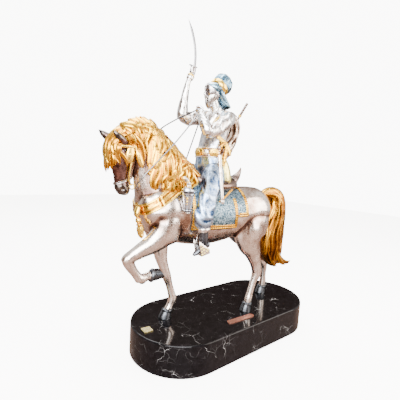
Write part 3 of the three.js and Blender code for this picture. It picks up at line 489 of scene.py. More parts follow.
LEGS = {
    "standing_fore": [
        [-150, 24, 236, 19, 32], [-151, 27, 204, 20, 32], [-146, 26, 176, 17, 25.5], [-141, 25, 150, 13, 17],
        [-137, 24, 122, 10.2, 12], [-130, 23, 100, 9.2, 9.8], [-125, 22.5, 86, 8.8, 9.6],
        [-118, 22, 66, 6.4, 7.4], [-111.5, 21, 45, 6.8, 8], [-110, 21, 36, 8, 9.4],
        [-114.5, 20.5, 26, 6.6, 7.2], [-120, 20, 15, 8.0, 8.6]],
    "raised_forearm": [
        [-150, -24, 238, 19, 32], [-154, -28, 210, 20, 32], [-162, -31, 188, 18, 25],
        [-182, -31, 170, 14.5, 18.5], [-204, -30, 158.5, 11.5, 13.5], [-220, -29, 150, 10, 11],
        [-229, -29, 144.5, 9.6, 10], [-235, -29, 140.5, 7, 6.5]],
    "raised_cannon": [
        [-229, -29, 150, 7, 7], [-227, -28.7, 142, 9, 9.5], [-221, -28.4, 131, 8, 8.6],
        [-214, -28, 121, 6.8, 7.4], [-207, -27.5, 111.5, 7.2, 8], [-203, -27, 106, 8.2, 8.6]],
    "raised_pastern": [
        [-205, -27, 106, 8, 7], [-200, -27, 107, 8.4, 9], [-192, -26.8, 110, 7.2, 7.4],
        [-184, -26.5, 111, 8.2, 8.6]],
    "near_hind": [
        [62, -22, 232, 18, 38], [50, -28, 200, 21, 46], [40, -31, 174, 20, 43], [41, -32, 152, 16.5, 31],
        [53, -31, 130, 12.8, 20.5], [65, -30, 104, 10, 13.6], [71, -30, 86, 9.8, 12.4],
        [69, -30, 75, 8.8, 10.6], [62, -30.2, 60, 6.8, 7.6], [55, -30.6, 38, 6.8, 7.6],
        [51.5, -31, 26, 7.8, 8.8], [48.5, -31, 16, 7.4, 8]],
    "far_hind": [
        [64, 22, 232, 18, 38], [60, 28, 200, 21, 45], [68, 31, 172, 19, 40], [86, 31, 147, 15, 28],
        [110, 29.5, 121, 11.6, 18], [136, 28, 92, 9.8, 13], [149, 28, 77, 9.8, 12.4],
        [153, 28, 66, 8.4, 9.8], [154.5, 28.5, 44, 6.7, 7.5], [155.5, 29, 27, 7.8, 8.8],
        [153, 29, 16, 7.4, 8]]}
HEAD_TURN, HEAD_PIVOT = math.radians(8), np.array([-222.0, 0.0, 0.0])


def turned(points, turn=HEAD_TURN):
    """The head looks a little to the horse's left: a turn about an upright axis at the poll."""
    return spun(np.asarray(points, float) - HEAD_PIVOT, turn) + HEAD_PIVOT


def turned_rows(rows, side=1):
    """Rows with y times side whose places turn with the head."""
    rows = shifted(rows, 0, side)
    rows[:, :3] = turned(rows[:, :3])
    return rows


EARS = [[[-233, -11, 329, 6, 7], [-239, -14.5, 336, 7.6, 7.4], [-247, -17, 342, 7, 6.4],
         [-254, -18.5, 347, 4.4, 4], [-260, -19, 351, 0.6, 0.6]],
        [[-233, 11, 329, 6, 7], [-240, 15.5, 336.5, 8, 7.6], [-249.5, 19.6, 343.5, 7.6, 6.8],
         [-257.5, 22.4, 349.5, 5.2, 4.6], [-264.2, 24, 354.5, 0.6, 0.6]]]
print("the legs have", [len(rows) for rows in LEGS.values()], "rows")

# %% [markdown]
# Joined, the body is carved like clay: each spot of the lists below raises or sinks the skin
# along its normal in a soft bell. Muscles and the face lie on both sides, the rest on the
# middle line or on one leg.
# %% Join and carve the horse
GROUND = 3.0
body_parts = [profile(BARREL, 40), profile(NECK, 32), turned(profile(HEAD, 28))]
body_parts += [limb(turned_rows(rows), 18) for rows in EARS]
body_parts += [limb(rows, 20) for rows in LEGS.values()]
horse = clay("horse_body", body_parts, voxel=1.9, rounds=3)
MUSCLES = both([
    [-152, 44, 228, 15, 9, 26, 2.6], [-176, 38, 232, 9, 8, 22, -1.6], [-186, 32, 214, 12, 12, 12, 2.6],
    [-126, 47, 196, 12, 10, 24, -2.2], [-138, 42, 178, 14, 10, 12, 1.6], [30, 46, 228, 14, 9, 18, -2.6],
    [20, 46, 186, 9, 9, 20, -2.0], [50, 38, 264, 10, 9, 8, 2.6], [76, 44, 214, 18, 10, 26, 2.2],
    [94, 38, 205, 5, 10, 30, -1.8], [40, 49, 180, 12, 8, 12, 1.6], [8, 50, 205, 30, 8, 26, 0.9],
    [-70, 50, 186, 34, 10, 18, 0.8], [-196, 24, 292, 5, 9, 30, -1.6], [-178, 26, 262, 8, 10, 34, 1.4],
    [-188, 36, 206, 9, 9, 6, -1.2], [-173, 42, 211, 10, 9, 6, -1.3], [-155, 47, 215, 10, 9, 7, -1.0],
    [-178, 40, 222, 16, 10, 7, 1.6], [-199, 24, 247, 9, 8, 6, 2.4], [-188, 35, 255, 10, 8, 6, 2.4],
    [-176, 40, 260, 10, 8, 6, 2.0]])
MIDDLE = [[-205, 0, 216, 9, 5, 24, -2.4], [72, 0, 268, 34, 4, 10, -1.8], [104, 0, 222, 12, 5, 26, -1.6],
          [-150, 26, 130, 6, 8, 14, 1.2], [-200, -30, 165, 14, 8, 8, 1.2], [-143, -31, 171, 11, 12, 9, 5]]
FACE = [[*turned([x, y, z]), *rest] for x, y, z, *rest in both([
    [-216, 14, 316, 12, 5, 13, 2.0], [-226, 17, 296, 6, 6, 6, -1.2], [-234, 16, 322, 6, 4, 4, -1.8],
    [-235, 17, 328, 7, 4, 3, 1.6], [-237, 12, 300, 10, 3, 2.6, 1.4], [-234, 10, 259, 2.8, 3.6, 3.2, -3.4],
    [-234, 11, 264, 5, 4, 2.2, 1.4], [-238, 10, 258, 1.6, 4, 4, 1.0], [-246, 0, 302, 4, 7, 26, -0.8],
    [-228, 9, 253.6, 9, 5, 1.3, -1.8], [-230, 8, 250, 7, 5, 2.2, 1.0], [-242, 6, 262, 3, 5, 4, 0.8]])]
p, n = read_points(horse)
p = carve(p, n, MUSCLES + MIDDLE + FACE)
p[:, 2] = np.maximum(p[:, 2], GROUND)
write_points(horse, p)
print("horse:", len(horse.data.polygons), "faces")


# %% [markdown]
# Colour follows the casting too: face and ears are burnished dark, the muzzle is grey. These
# are soft masks, a number per point that rises smoothly from 0 to 1 over a few millimetres.
# %% Masks and finish of the horse
def step_up(value, low, high):
    """0 below low, 1 above high, and 3t^2 - 2t^3 between."""
    t = np.clip((value - low) / (high - low), 0, 1)
    return t * t * (3 - 2 * t)


head_x = turned(p, -HEAD_TURN)[:, 0]
jaw_line = 222 - 0.45 * np.maximum(0, 272 - p[:, 2])
face_mask = step_up(-head_x, jaw_line, jaw_line + 5) * step_up(p[:, 2], 244, 250)
ear_mask = step_up(p[:, 2], 336, 341) * step_up(np.abs(p[:, 1]), 9, 12)
muzzle_mask = np.clip(face_mask * step_up(-p[:, 2], -271, -264) + ear_mask, 0, 1)
FACE_EDGE = np.array([[-238, 251], [-245, 268], [-252, 296], [-259, 325], [-246, 353]], float)
behind_edge = head_x - np.interp(p[:, 2], FACE_EDGE[:, 1], FACE_EDGE[:, 0])
paint(horse, "dark", np.clip(face_mask + ear_mask, 0, 1))
paint(horse, "cheek", step_up(behind_edge, 7, 14))
paint(horse, "muzzle", muzzle_mask)
paint(horse, "hollow", hollows(horse))


def horse_finish():
    """The silver plate, mixed by the masks with liver brown down the face, grey-brown on the cheeks
    and grey at the muzzle and ears; an 11 mm cell pattern dapples the plate."""
    made = SILVER.copy()
    made.name = "silver_plate_dappled"
    tree = made.node_tree
    shader = tree.nodes["Principled BSDF"]
    plate = shader.inputs["Base Color"].links[0].from_socket
    where = node(tree, "ShaderNodeTexCoord").outputs["Object"]
    cells = node(tree, "ShaderNodeTexVoronoi", {"feature": "SMOOTH_F1"}, Vector=where, Scale=1 / (11 * MM))
    spots = node(tree, "ShaderNodeValToRGB", stops=[(0.05, "#ffffff"), (0.75, "#b9a396")],
                 i0=cells.outputs["Distance"])
    dapple = node(tree, "ShaderNodeMix", {**COLOURS, "blend_type": "MULTIPLY"}, i0=0.55, i6=plate,
                  i7=spots.outputs[0])
    dark, cheek, muzzle = (node(tree, "ShaderNodeAttribute", {"attribute_name": mask}).outputs["Fac"]
                           for mask in ("dark", "cheek", "muzzle"))
    grain = node(tree, "ShaderNodeTexNoise", Vector=where, Scale=1 / (6 * MM), Detail=4.0).outputs["Fac"]
    browns, greys, nose = (
        node(tree, "ShaderNodeValToRGB", stops=[(0.3, low), (0.7, high)], i0=grain).outputs[0]
        for low, high in (("#38231f", "#805a50"), ("#45302c", "#927775"), ("#25211e", "#807772")))
    skin = node(tree, "ShaderNodeMix", COLOURS, i0=cheek, i6=browns, i7=greys)
    faced = node(tree, "ShaderNodeMix", COLOURS, i0=dark, i6=dapple.outputs[2], i7=skin.outputs[2])
    nosed = node(tree, "ShaderNodeMix", COLOURS, i0=muzzle, i6=faced.outputs[2], i7=nose)
    tree.links.new(nosed.outputs[2], shader.inputs["Base Color"])
    return made


HORSE_SILVER = horse_finish()
settle(horse, "horse", HORSE_SILVER)
print("dark points:", int(face_mask.sum()))

# %% [markdown]
# Hair in cast metal is not strands but locks: flat tapering ribbons that wave, each chased
# with a few grooves. All locks of a layer are made at once as arrays. They are laid on a
# guiding surface, so first the surface, then paths drawn on it in its own two coordinates.
# %% Ribbons that lie on a surface
def ribbons(paths, normals, width, depth, around, fold=None):
    """Tubes along many paths at once: c + k (w cos(a) s + d sin(a) n), s = normal x path. Returns
    the rings and k, which is fold(angle, how far along)."""
    t = unit(np.gradient(paths, axis=1))
    s = unit(np.cross(normals, t))
    n = np.cross(t, s)
    angle = np.linspace(0, 2 * math.pi, around, endpoint=False)[None, None]
    along = np.linspace(0, 1, paths.shape[1])[None, :, None]
    k = np.ones((*paths.shape[:2], around)) if fold is None else fold(angle, along)
    w, d = width[..., None], depth[..., None]
    return (paths[:, :, None] + (k * w * np.cos(angle))[..., None] * s[:, :, None]
            + (k * d * np.sin(angle))[..., None] * n[:, :, None]), np.broadcast_to(k, w.shape[:2] + (around,))


def on_surface(grid, u, v):
    """Points and outward normals of a grid at fractions u and v, between its four neighbours."""
    rows, columns = grid.shape[:2]
    du, dv = np.gradient(grid, axis=0), np.gradient(grid, axis=1)
    normal = unit(np.cross(du, dv))

    def pick(field):
        x, y = np.clip(u, 0, 1) * (rows - 1.001), np.clip(v, 0, 1) * (columns - 1.001)
        i, j = x.astype(int), y.astype(int)
        fx, fy = (x - i)[..., None], (y - j)[..., None]
        return ((field[i, j] * (1 - fx) + field[i + 1, j] * fx) * (1 - fy)
                + (field[i, j + 1] * (1 - fx) + field[i + 1, j + 1] * fx) * fy)

    return pick(grid), unit(pick(normal))


def lock_width(t):
    """0.57 at the root, full in the middle and drawn to a point: (t + 0.25)^0.4 (1 - t^3)^(1/2)."""
    return np.clip((t + 0.25) ** 0.4, 0, 1.1) * np.sqrt(np.clip(1 - t ** 3, 0.0004, 1))


def strands(angle, along):
    """Chased grooves round each lock, four broad and eleven fine, turning as they run down it."""
    return 1 + 0.11 * np.cos(4 * angle + 3.4 * along) + 0.045 * np.cos(11 * angle - 2 * along)


def sway(wave, turns, phase, t):
    """A swing across the run that grows toward the tip: w sin(2 pi turns t + phase) (0.3 + 0.7 t)."""
    return wave * np.sin(2 * math.pi * turns * t + phase) * (0.3 + 0.7 * t)


def locks_on(grid, u, v, lift, width, depth, around):
    """Grooved locks along the paths (u, v) of a guiding surface, lifted off it."""
    p, n = on_surface(grid, u, v)
    return ribbons(p + n * lift[..., None], n, width, depth, around, fold=strands)


def grooved_piece(name, node_name, layers, plain=(), finish=GILT, gain=4.4):
    """One gilt piece from layers of tubes (rings, k, shade) and plain skins. The hollow number is
    gain (1 - k) + shade, painted shade that is high in the grooves and set layer by layer, and
    0.9 on the plain skins, painted shade under the locks."""
    parts, deep = [], []
    for rings, k, shade in layers:
        for one, fold in zip(rings, k):
            parts.append(grid_mesh(one))
            deep.append(np.append((1 - fold).ravel() * gain + shade, [0, 0]))
    for skin in plain:
        parts.append(grid_mesh(skin))
        deep.append(np.full(len(parts[-1][0]), 0.9))
    made = piece(name, *gather(parts), node_name, "gilt_metal", finish)
    paint(made, "hollow", np.concatenate(deep))
    return made


print("a lock's width at root, middle and tip:", lock_width(np.array([0, 0.5, 1])).round(2))

# %% [markdown]
# The mane: one guiding surface per side from the crest to the hem, which follows the neck's
# swell; under it solid hair, over it five tiers of locks. The lower tiers start further down
# and lie closer to the neck.
# %% The mane
MANE = [[-240, 361, -229, 343, 12], [-219, 374, -214, 328, 15], [-202, 378, -204, 320, 17],
        [-187, 377, -190, 338, 18], [-174, 371, -192, 302, 21], [-160, 360, -188, 275, 25],
        [-144, 347, -166, 270, 30], [-121, 324, -142, 267, 35], [-96, 300, -110, 273, 38]]
# each tier: how many locks, where they start and end, width, lift and shade; the shade is painted, lightest
# on the top tiers, lifted furthest, and least light on those under them
TIERS = ((17, 0.46, 1.06, 7.6, 0.0, -0.05), (16, 0.30, 0.96, 8.0, 1.0, -0.1),
         (15, 0.14, 0.78, 8.2, 2.0, -0.1), (14, 0.0, 0.58, 8.4, 2.8, -0.2),
         (12, -0.04, 0.36, 8.6, 3.2, -0.4))


def mane_surface(side, offset):
    """Crest to hem in a straight line in side view, pushed out by half * sin(1.7 v pi / 2)."""
    rows = finer(MANE, 8)[:, None]
    v = np.linspace(0, 1.12, 40)[None]
    drop = 1.0 if side < 0 else 0.86
    x = rows[..., 0] + (rows[..., 2] - rows[..., 0]) * v * drop
    z = rows[..., 1] + (rows[..., 3] - rows[..., 1]) * v * drop
    y = rows[..., 4] * np.sin(np.minimum(1, v * 1.7) * math.pi / 2) + offset * np.minimum(1, 0.4 + 3 * v)
    grid = np.stack(np.broadcast_arrays(x, side * y, z), -1)
    return grid if side > 0 else grid[::-1]


def mane_layer(side, count, v0, v1, width, lift, shade, seed):
    """One tier of locks side by side along the crest, swept back a little at the hem; each sways,
    hooks aside by hook * t^3 and bows off the surface."""
    pick = np.random.default_rng(seed)

    def draw(low, high):
        return pick.uniform(low, high, count)[:, None]

    t = np.linspace(0, 1, 26)[None]
    u0 = 0.03 + 0.94 * (np.arange(count)[:, None] + 0.5) / count + draw(-0.3, 0.3) / count
    u1 = u0 + side * draw(-0.02, 0.05)
    v0, v1 = v0 + draw(0, 0.1), v1 + draw(-0.1, 0.06)
    wave, turns, phase = draw(0.016, 0.034), draw(0.8, 1.5), draw(-0.8, 1.6)
    wide, deep, hook = width * draw(0.8, 1.2), width * 0.42 * draw(0.85, 1.25), side * draw(-0.07, 0.08)
    u = u0 + (u1 - u0) * t + sway(wave, turns, phase, t) + hook * t ** 3
    bow = lift * (0.35 + np.sin(math.pi * t) * 0.65) * np.ones_like(u)
    shape = lock_width(t)
    rings, k = locks_on(mane_surface(side, 2.4), u, v0 + (v1 - v0) * t, bow, wide * shape, deep * shape, 16)
    return rings, k, shade


def under_mane(side):
    """Solid hair below the locks: each section runs from the crest down the surface and back
    inside the neck."""
    grid = mane_surface(side, 1.0)[:, :35]
    inner = grid[:, ::-1] * [1, 0.3, 1] + [0, 0, -4]
    return np.concatenate([grid, inner], 1)


under_poll = turned_rows([[-250, 0, 330, 9, 8], [-242, 0, 340, 11, 10], [-224, 0, 351, 10, 12]])
under_hair = limb(np.vstack([under_poll, [[-196, 0, 358, 10, 14], [-160, 0, 342, 12, 16],
                                          [-128, 0, 314, 14, 14], [-102, 0, 288, 14, 12]]]))
mane_layers = [mane_layer(side, *tier, seed + i) for side, seed in ((-1, 11), (1, 29))
               for i, tier in enumerate(TIERS)]
mane = grooved_piece("mane", "horse", mane_layers, [under_hair, under_mane(-1), under_mane(1)])
print("mane:", len(mane.data.polygons), "faces")

# %% [markdown]
# The forelock is a fan of curling locks over the brow, and the tail hangs in heavy spiral
# locks round a solid core, its lowest locks flung back by the step.
# %% Forelock and tail
def curls(rows_list):
    """Free locks from rows of x, y, z, width, depth, grooved like the others, with painted shade in the
    grooves and a shade of -0.1, a little painted light over all.
    """
    made = []
    angle = np.linspace(0, 2 * math.pi, 18, endpoint=False)[None]
    for rows in rows_list:
        rings = limb(rows, 18, steps=8, fold=strands)
        k = strands(angle, np.linspace(0, 1, len(rings))[:, None])
        made.append((rings[None], k[None], -0.1))
    return made


FORELOCK_DROPS = [24, 42, 31, 40, 26]


def forelock_row(f, lift, seed, shorter=0.0):
    """A lock from the poll forward over the brow and down the forehead; f is -1 on the near side
    and 1 on the far side, and the drops set how far it hangs."""
    pick = np.random.default_rng(seed)
    y, back, down = f * 13.5, 8.8 * f * f, 9 * f * f
    drop = np.interp(2 * f + 2, range(5), FORELOCK_DROPS) + pick.uniform(-7, 5) - shorter
    wave, hook = 4.2 * math.sin(5 * f + seed), pick.uniform(-8, 8)
    return turned_rows([
        [-222, y * 0.6, 353 - down * 0.3, 4.4, 3.6], [-241, y * 0.95, 354 + lift - down, 5.6, 4.0],
        [-254 + back - lift, y * 1.1 + wave, 341 - down * 0.7, 6.6, 4.6],
        [-259 + back - lift, y * 1.2 - wave, 331 - 0.25 * drop, 6.4, 4.4],
        [-258 + back - lift, y * 1.2 + wave, 326 - 0.66 * drop, 4.4, 3.2],
        [-256 + back, y * 1.1 + hook, 327 - drop, 0.5, 0.4]])


TAIL = [[98, 0, 246, 7, 8], [112, 0, 254, 9.5, 9.5], [130, 0, 254, 12, 13], [147, 0, 241, 14, 19],
        [151, 0, 214, 15.5, 24], [147, 0, 178, 17, 27], [143, 0, 138, 17, 28.5], [150, 0, 104, 12.5, 24],
        [162, 0, 80, 3, 6]]
tail_core = limb(TAIL, 48, steps=8)
closed_tail = np.concatenate([tail_core, tail_core[:, :1]], 1)


def tail_layer(count, u0, u1, width, lift, shade, seed):
    """Locks down the tail's core that drift round it as they fall."""
    pick = np.random.default_rng(seed)

    def draw(low, high):
        return pick.uniform(low, high, count)[:, None]

    around = (np.arange(count)[:, None] + draw(-0.25, 0.25)) / count
    t = np.linspace(0, 1, 34)[None]
    start, end = u0 + draw(0, 0.08), u1 + draw(-0.12, 0.05)
    u = start + (end - u0) * t
    turns, phase, wave = draw(1.7, 2.7), draw(0, 6), draw(0.022, 0.042)
    v = np.mod(around + 0.08 * t + sway(wave, turns, phase, t), 1)
    bow = lift * (0.4 + 0.6 * np.sin(math.pi * t)) * np.ones_like(u)
    shape = width * draw(0.8, 1.2) * lock_width(t) * np.minimum(1, 0.45 + 1.6 * u)
    rings, k = locks_on(closed_tail, u, v, bow, shape, 0.5 * shape, 18)
    return rings, k, shade


flung = curls([
    [[156, -4, 124, 7, 9], [163, -4, 106, 7, 9], [175, -5, 92, 6, 7], [190, -5, 84, 4.6, 5.4],
     [203, -5, 81, 3, 3.6], [213, -5, 84, 0.5, 0.5]],
    [[152, -11, 120, 5, 7], [160, -12, 100, 5, 7], [172, -12, 86, 4, 5.4], [186, -11, 78, 0.6, 0.6]],
    [[150, 6, 122, 6, 8], [160, 6, 98, 6, 7.4], [173, 5, 84, 4.4, 5.6], [190, 4, 78, 0.6, 0.6]],
    [[134, 4, 125, 7, 9], [131, 4, 106, 6, 7.4], [138, 3, 88, 4.6, 5.4], [152, 2, 76, 0.6, 0.6]],
    [[140, -8, 124, 6, 7.4], [139, -8, 102, 5.4, 6.6], [147, -8, 86, 3.6, 4.4], [160, -8, 76, 0.5, 0.5]]])
over_brow = [forelock_row(f, 0.0, i) for i, f in enumerate(np.linspace(-1, 1, 8))]
over_brow += [forelock_row(f, 1.8, 20 + i, 14) for i, f in enumerate(np.linspace(-0.75, 0.8, 5))]
over_brow += [turned_rows(rows, side) for side in (-1, 1) for rows in (
    [[-226, 9, 349, 4, 3.6], [-243, 10, 343, 5.6, 4], [-252, 13, 334, 6, 4],
     [-253, 16.5, 321, 5.6, 3.8], [-247, 16, 309, 4.4, 3.2], [-243, 14, 299, 0.6, 0.5]],
    [[-250, 14, 326, 2, 2], [-247, 17, 320, 4.6, 3.2], [-240, 18.5, 313, 4.6, 3],
     [-234, 18.5, 305, 3.4, 2.4], [-233, 17.6, 297, 0.6, 0.5]],
    [[-222, 10, 350, 4, 3.6], [-219, 17, 346, 5.6, 4], [-213, 21, 336, 6.4, 4.4],
     [-208, 22, 322, 5.4, 4], [-206, 22, 310, 3.2, 3], [-209, 21, 301, 0.5, 0.5]])]
grooved_piece("forelock", "horse", curls(over_brow))
# each tier's last number but one is painted shade: darkest on the inner tier by the core, lightest on the
# outer one
tail_layers = [tail_layer(10, 0.42, 0.99, 9.4, 0.0, 0.4, 4), tail_layer(9, 0.22, 0.88, 9.6, 0.8, 0.2, 5),
               tail_layer(8, 0.08, 0.68, 9.8, 1.6, 0.0, 6), tail_layer(7, 0.0, 0.48, 9.4, 2.2, -0.3, 7)]
tail = grooved_piece("tail", "horse", tail_layers + flung, [tail_core], TAIL_GILT)
print("tail:", len(tail.data.polygons), "faces")

# %% [markdown]
# Tack. Every strap and the cloth lie on the horse, so each is made from the same sections,
# grown by its thickness. The cloth is a grid over the barrel: at each place along the horse
# the section is an oval, and the hem's height gives the angle at which the cloth ends.
# %% Saddle cloth with a rope border
CLOTH_FRONT, CLOTH_STEP, CLOTH_REAR, FRONT_HEM, REAR_HEM = -118.0, -15.0, 13.0, 189.0, 211.0
ROPE_STEP, ROPE_LAY = 1.1, 2.3


def barrel_at(x, offset):
    """Centre height, half width and half height of the barrel's section at x, grown by offset."""
    fine = finer(BARREL, 12)
    order = np.argsort(fine[:, 2])
    along = fine[order, 2]
    low, high, half = (np.interp(x, along, fine[order, i]) for i in (1, 3, 4))
    return (low + high) / 2, half + offset, (high - low) / 2 + offset


def cloth_point(x, fraction, offset):
    """fraction -1 is the near hem, 0 the back's ridge, 1 the far hem."""
    hem = FRONT_HEM + (REAR_HEM - FRONT_HEM) * step_up(x, CLOTH_STEP - 0.6, CLOTH_STEP + 0.6)
    centre, half, tall = barrel_at(x, offset)
    low = np.arcsin(np.clip((hem - centre) / tall, -1, 1))
    angle = math.pi / 2 - np.abs(fraction) * (math.pi / 2 - low)
    y, z = np.sign(fraction) * half * np.cos(angle), centre + tall * np.sin(angle)
    return np.stack(np.broadcast_arrays(x, y, z), -1)


def cloth_normal(points):
    """Outward on the oval section: the section's own gradient, which has no x part to speak of."""
    centre, half, tall = barrel_at(points[..., 0], 0)
    y, z = points[..., 1] / half ** 2, (points[..., 2] - centre) / tall ** 2
    return unit(np.stack([np.zeros_like(half), y, z], -1))


def border(path, half_width, high):
    """A rope laid along a path on the cloth: two strands, each once round in 2 ROPE_LAY mm."""
    keep = np.append(0, np.cumsum(np.linalg.norm(np.diff(path, axis=0), axis=1)))
    even = np.linspace(0, keep[-1], int(keep[-1] / ROPE_STEP))
    fine = np.stack([np.interp(even, keep, path[:, i]) for i in range(3)], 1)[None]
    turns = keep[-1] / (ROPE_LAY * 2)
    size = np.ones(fine.shape[:2])
    rings, k = ribbons(fine, cloth_normal(fine), half_width * size, high * size, 12,
                       ribbed(0.17, 2, 2 * math.pi * turns))
    return rings, k, 0.0


fraction = np.linspace(-1, 1, 91)[None]
xs = np.append(np.linspace(CLOTH_FRONT, CLOTH_REAR, 66), CLOTH_STEP + np.linspace(-0.7, 0.7, 6))
xs = np.sort(xs)[:, None]
cloth_grid = cloth_point(xs, fraction, 1.2)
ripple = 0.35 * np.sin(xs / 9 + 2.2 * np.sin(6 * fraction))
cloth_grid = cloth_grid + cloth_normal(cloth_grid) * ripple[..., None]


def cloth_piece():
    """The sheet as cast: the grid thickened by a Solidify."""
    rows, columns = cloth_grid.shape[:2]
    i = np.arange(rows - 1)[:, None] * columns + np.arange(columns - 1)[None]
    faces = np.stack([i, i + 1, i + columns + 1, i + columns], -1).reshape(-1, 4)
    made = piece("saddle_cloth_field", cloth_grid.reshape(-1, 3), faces.tolist(), "saddle_cloth",
                 "blue_enamel", CLOTH_BLUE)
    thick = made.modifiers.new("thick", "SOLIDIFY")
    thick.thickness = 1.8 * MM
    thick.offset = 0
    applied(made)
    outward(made.data)
    paint(made, "hollow", np.zeros(len(made.data.vertices)))


def rim_path(side, inset):
    """The border's run on one side: down the front edge, along the hem, up the step, along the
    rear hem and up the rear edge."""
    def run(x, low, high, count):
        return cloth_point(np.full(count, x), side * np.linspace(low, high, count), 2.4)
    front, step, rear = CLOTH_FRONT + inset, CLOTH_STEP - inset, CLOTH_REAR - inset
    long, short = 1 - inset / 75, 1 - inset / 60
    hem = cloth_point(np.linspace(front, step, 40), np.full(40, side * long), 2.4)
    rear_hem = cloth_point(np.linspace(step + 2 * inset, rear, 12), np.full(12, side * short), 2.4)
    return [run(front, 0.0, long, 50), hem, run(step, long, 0.45, 30), rear_hem, run(rear, short, 0.0, 40)]


cloth_piece()
ropes = []
for side in (-1, 1):
    ropes += [border(path, 1.8, 1.2) for inset in (1.6, 4.6) for path in rim_path(side, inset)]
    flank = np.array([[-62, side * 51.6, 241], [-44, side * 48.8, 253], [-26, side * 43, 264.5]])
    ropes.append(border(finer(flank, 12), 1.9, 1.3))
rope = grooved_piece("saddle_cloth_rope", "saddle_cloth", ropes, gain=4)
print("rope:", len(rope.data.polygons), "faces")

# %% [markdown]
# Straps. A strap is a slice of the body's own skin: the body is grown, sliced by two planes,
# thickened, and given a raised border on each edge.
# %% Straps sliced from the body
def strap(name, grids, middle, axis, half_width, node_name, material, voxel=1.3, thick=2.0,
          border_mm=0.9, rear=math.inf, relief=lambda p, away: 0 * away):
    """Joins grids, keeps the skin within half_width of the plane through middle square to axis
    and in front of x = rear, raises the edges, and thickens inward."""
    made = clay(name, grids, voxel, 3)
    middle, a = np.array(middle, float), unit(np.array(axis, float))
    work = bmesh.new()
    work.from_mesh(made.data)
    for way in (-1, 1):
        geometry = work.verts[:] + work.edges[:] + work.faces[:]
        bmesh.ops.bisect_plane(work, geom=geometry, dist=1e-6, plane_co=place(middle + a * half_width * way),
                               plane_no=spun(a * way, HORSE_TURN), clear_outer=True)
    work.to_mesh(made.data)
    work.free()
    p, n = read_points(made)
    away = np.abs((p - middle) @ a)
    lift = border_mm * step_up(away, half_width * 0.62, half_width * 0.74) + relief(p, away)
    write_points(made, p + n * lift[:, None])
    work = bmesh.new()
    work.from_mesh(made.data)
    work.verts.ensure_lookup_table()
    behind = [work.verts[i] for i in np.nonzero(p[:, 0] >= rear)[0]]
    bmesh.ops.delete(work, geom=behind, context="VERTS")
    work.to_mesh(made.data)
    work.free()
    shell = made.modifiers.new("shell", "SOLIDIFY")
    shell.thickness = thick * MM
    shell.offset = -1
    applied(made)
    smooth(made)
    paint(made, "hollow", hollows(made, 1))
    return settle(made, node_name, material)


def slope(degrees):
    """The axis of a slab turned about y: (sin, 0, cos)."""
    return [math.sin(math.radians(degrees)), 0, math.cos(math.radians(degrees))]


def chased(p, away):
    """A sunk panel with a beaded middle, broken by the joint between its two leather pieces."""
    bead = 0.5 * (1 - step_up(away, 1.2, 2.6)) * (0.5 + 0.5 * np.cos(p[:, 1] * 0.8))
    along = p[:, 0] + 0.3 * p[:, 2]
    joint = np.exp(-((along + 104.5) / 1.3) ** 2)
    beside = np.exp(-((np.abs(along + 104.5) - 3.6) / 1.5) ** 2)
    return bead - 1.2 * joint + 0.7 * beside


fore = [limb(LEGS["standing_fore"], 20, grow=2.4), limb(LEGS["raised_forearm"], 20, grow=2.4)]
collar_skin = [profile(BARREL, 40, grow=2.4), profile(NECK, 32, grow=2.4)] + fore
collar = strap("breast_collar_band", collar_skin, [-168, 0, 247], slope(-33), 8.5, "breast_collar",
               PALE_GILT, rear=-124, relief=chased)
drop = limb([[-206, -14, 230, 6, 4], [-209, -16, 219, 6.4, 5], [-207.5, -17, 213, 3, 3],
             [-207, -17.5, 210, 5, 4.6], [-206, -18, 206, 5.4, 5], [-205.4, -18.2, 203, 3.4, 3.2],
             [-205, -18.4, 201, 6.6, 5.4], [-204.4, -18.6, 199, 4.2, 4], [-203.6, -19, 196, 7.2, 5.4],
             [-202.6, -19.6, 188, 7.6, 5.4], [-201, -20, 181, 5.6, 4],
             [-200.2, -20, 176.6, 1, 1]], 28, steps=6,
            fold=lambda a, t: 1 + 0.08 * np.cos(9 * a) * step_up(t, 0.62, 0.7))
solid("breast_drop", [drop], "breast_collar", "gilt_metal", PALE_GILT)
print("collar:", len(collar.data.polygons), "faces")

# %% [markdown]
# The bridle is cast with the head: flat straps, a plate on each cheek, a tassel behind it and a
# ring for the bit. Balls and rings, here and later, are the turned beads and wire hoops that a
# chaser solders on. The hooves are blocks of their own, so that their edge stays sharp.
# %% Bridle, hooves and eyes
def ball(centre, radius, squash=(1, 1, 1), rings=14, around=20):
    """Rings from pole to pole: radius * sin and cos of the latitude."""
    lat = np.linspace(0.02, math.pi - 0.02, rings)[:, None]
    a = np.linspace(0, 2 * math.pi, around, endpoint=False)[None]
    x, y = np.sin(lat) * np.cos(a), np.sin(lat) * np.sin(a)
    return np.stack(np.broadcast_arrays(x, y, np.cos(lat)), -1) * radius * squash + centre


def hoop(centre, radius, thick, axis=(0, 1, 0)):
    """A closed ring as a tube that nearly meets itself: centre + radius (cos, sin) in its plane."""
    a = unit(np.array(axis, float))
    u = unit(np.cross(a, [0.3, 0.1, 1.0]))
    v = np.cross(a, u)
    turn = np.linspace(0, 2 * math.pi * 1.001, 40)[:, None]
    path = centre + radius * (np.cos(turn) * u + np.sin(turn) * v)
    size = np.full((1, len(path)), thick)
    return ribbons(path[None], unit(path - centre)[None], size, size, 12)[0][0]


def bit_ring(side):
    """The middle of the ring at the end of the bit."""
    return turned([-220, side * 13.5, 264])


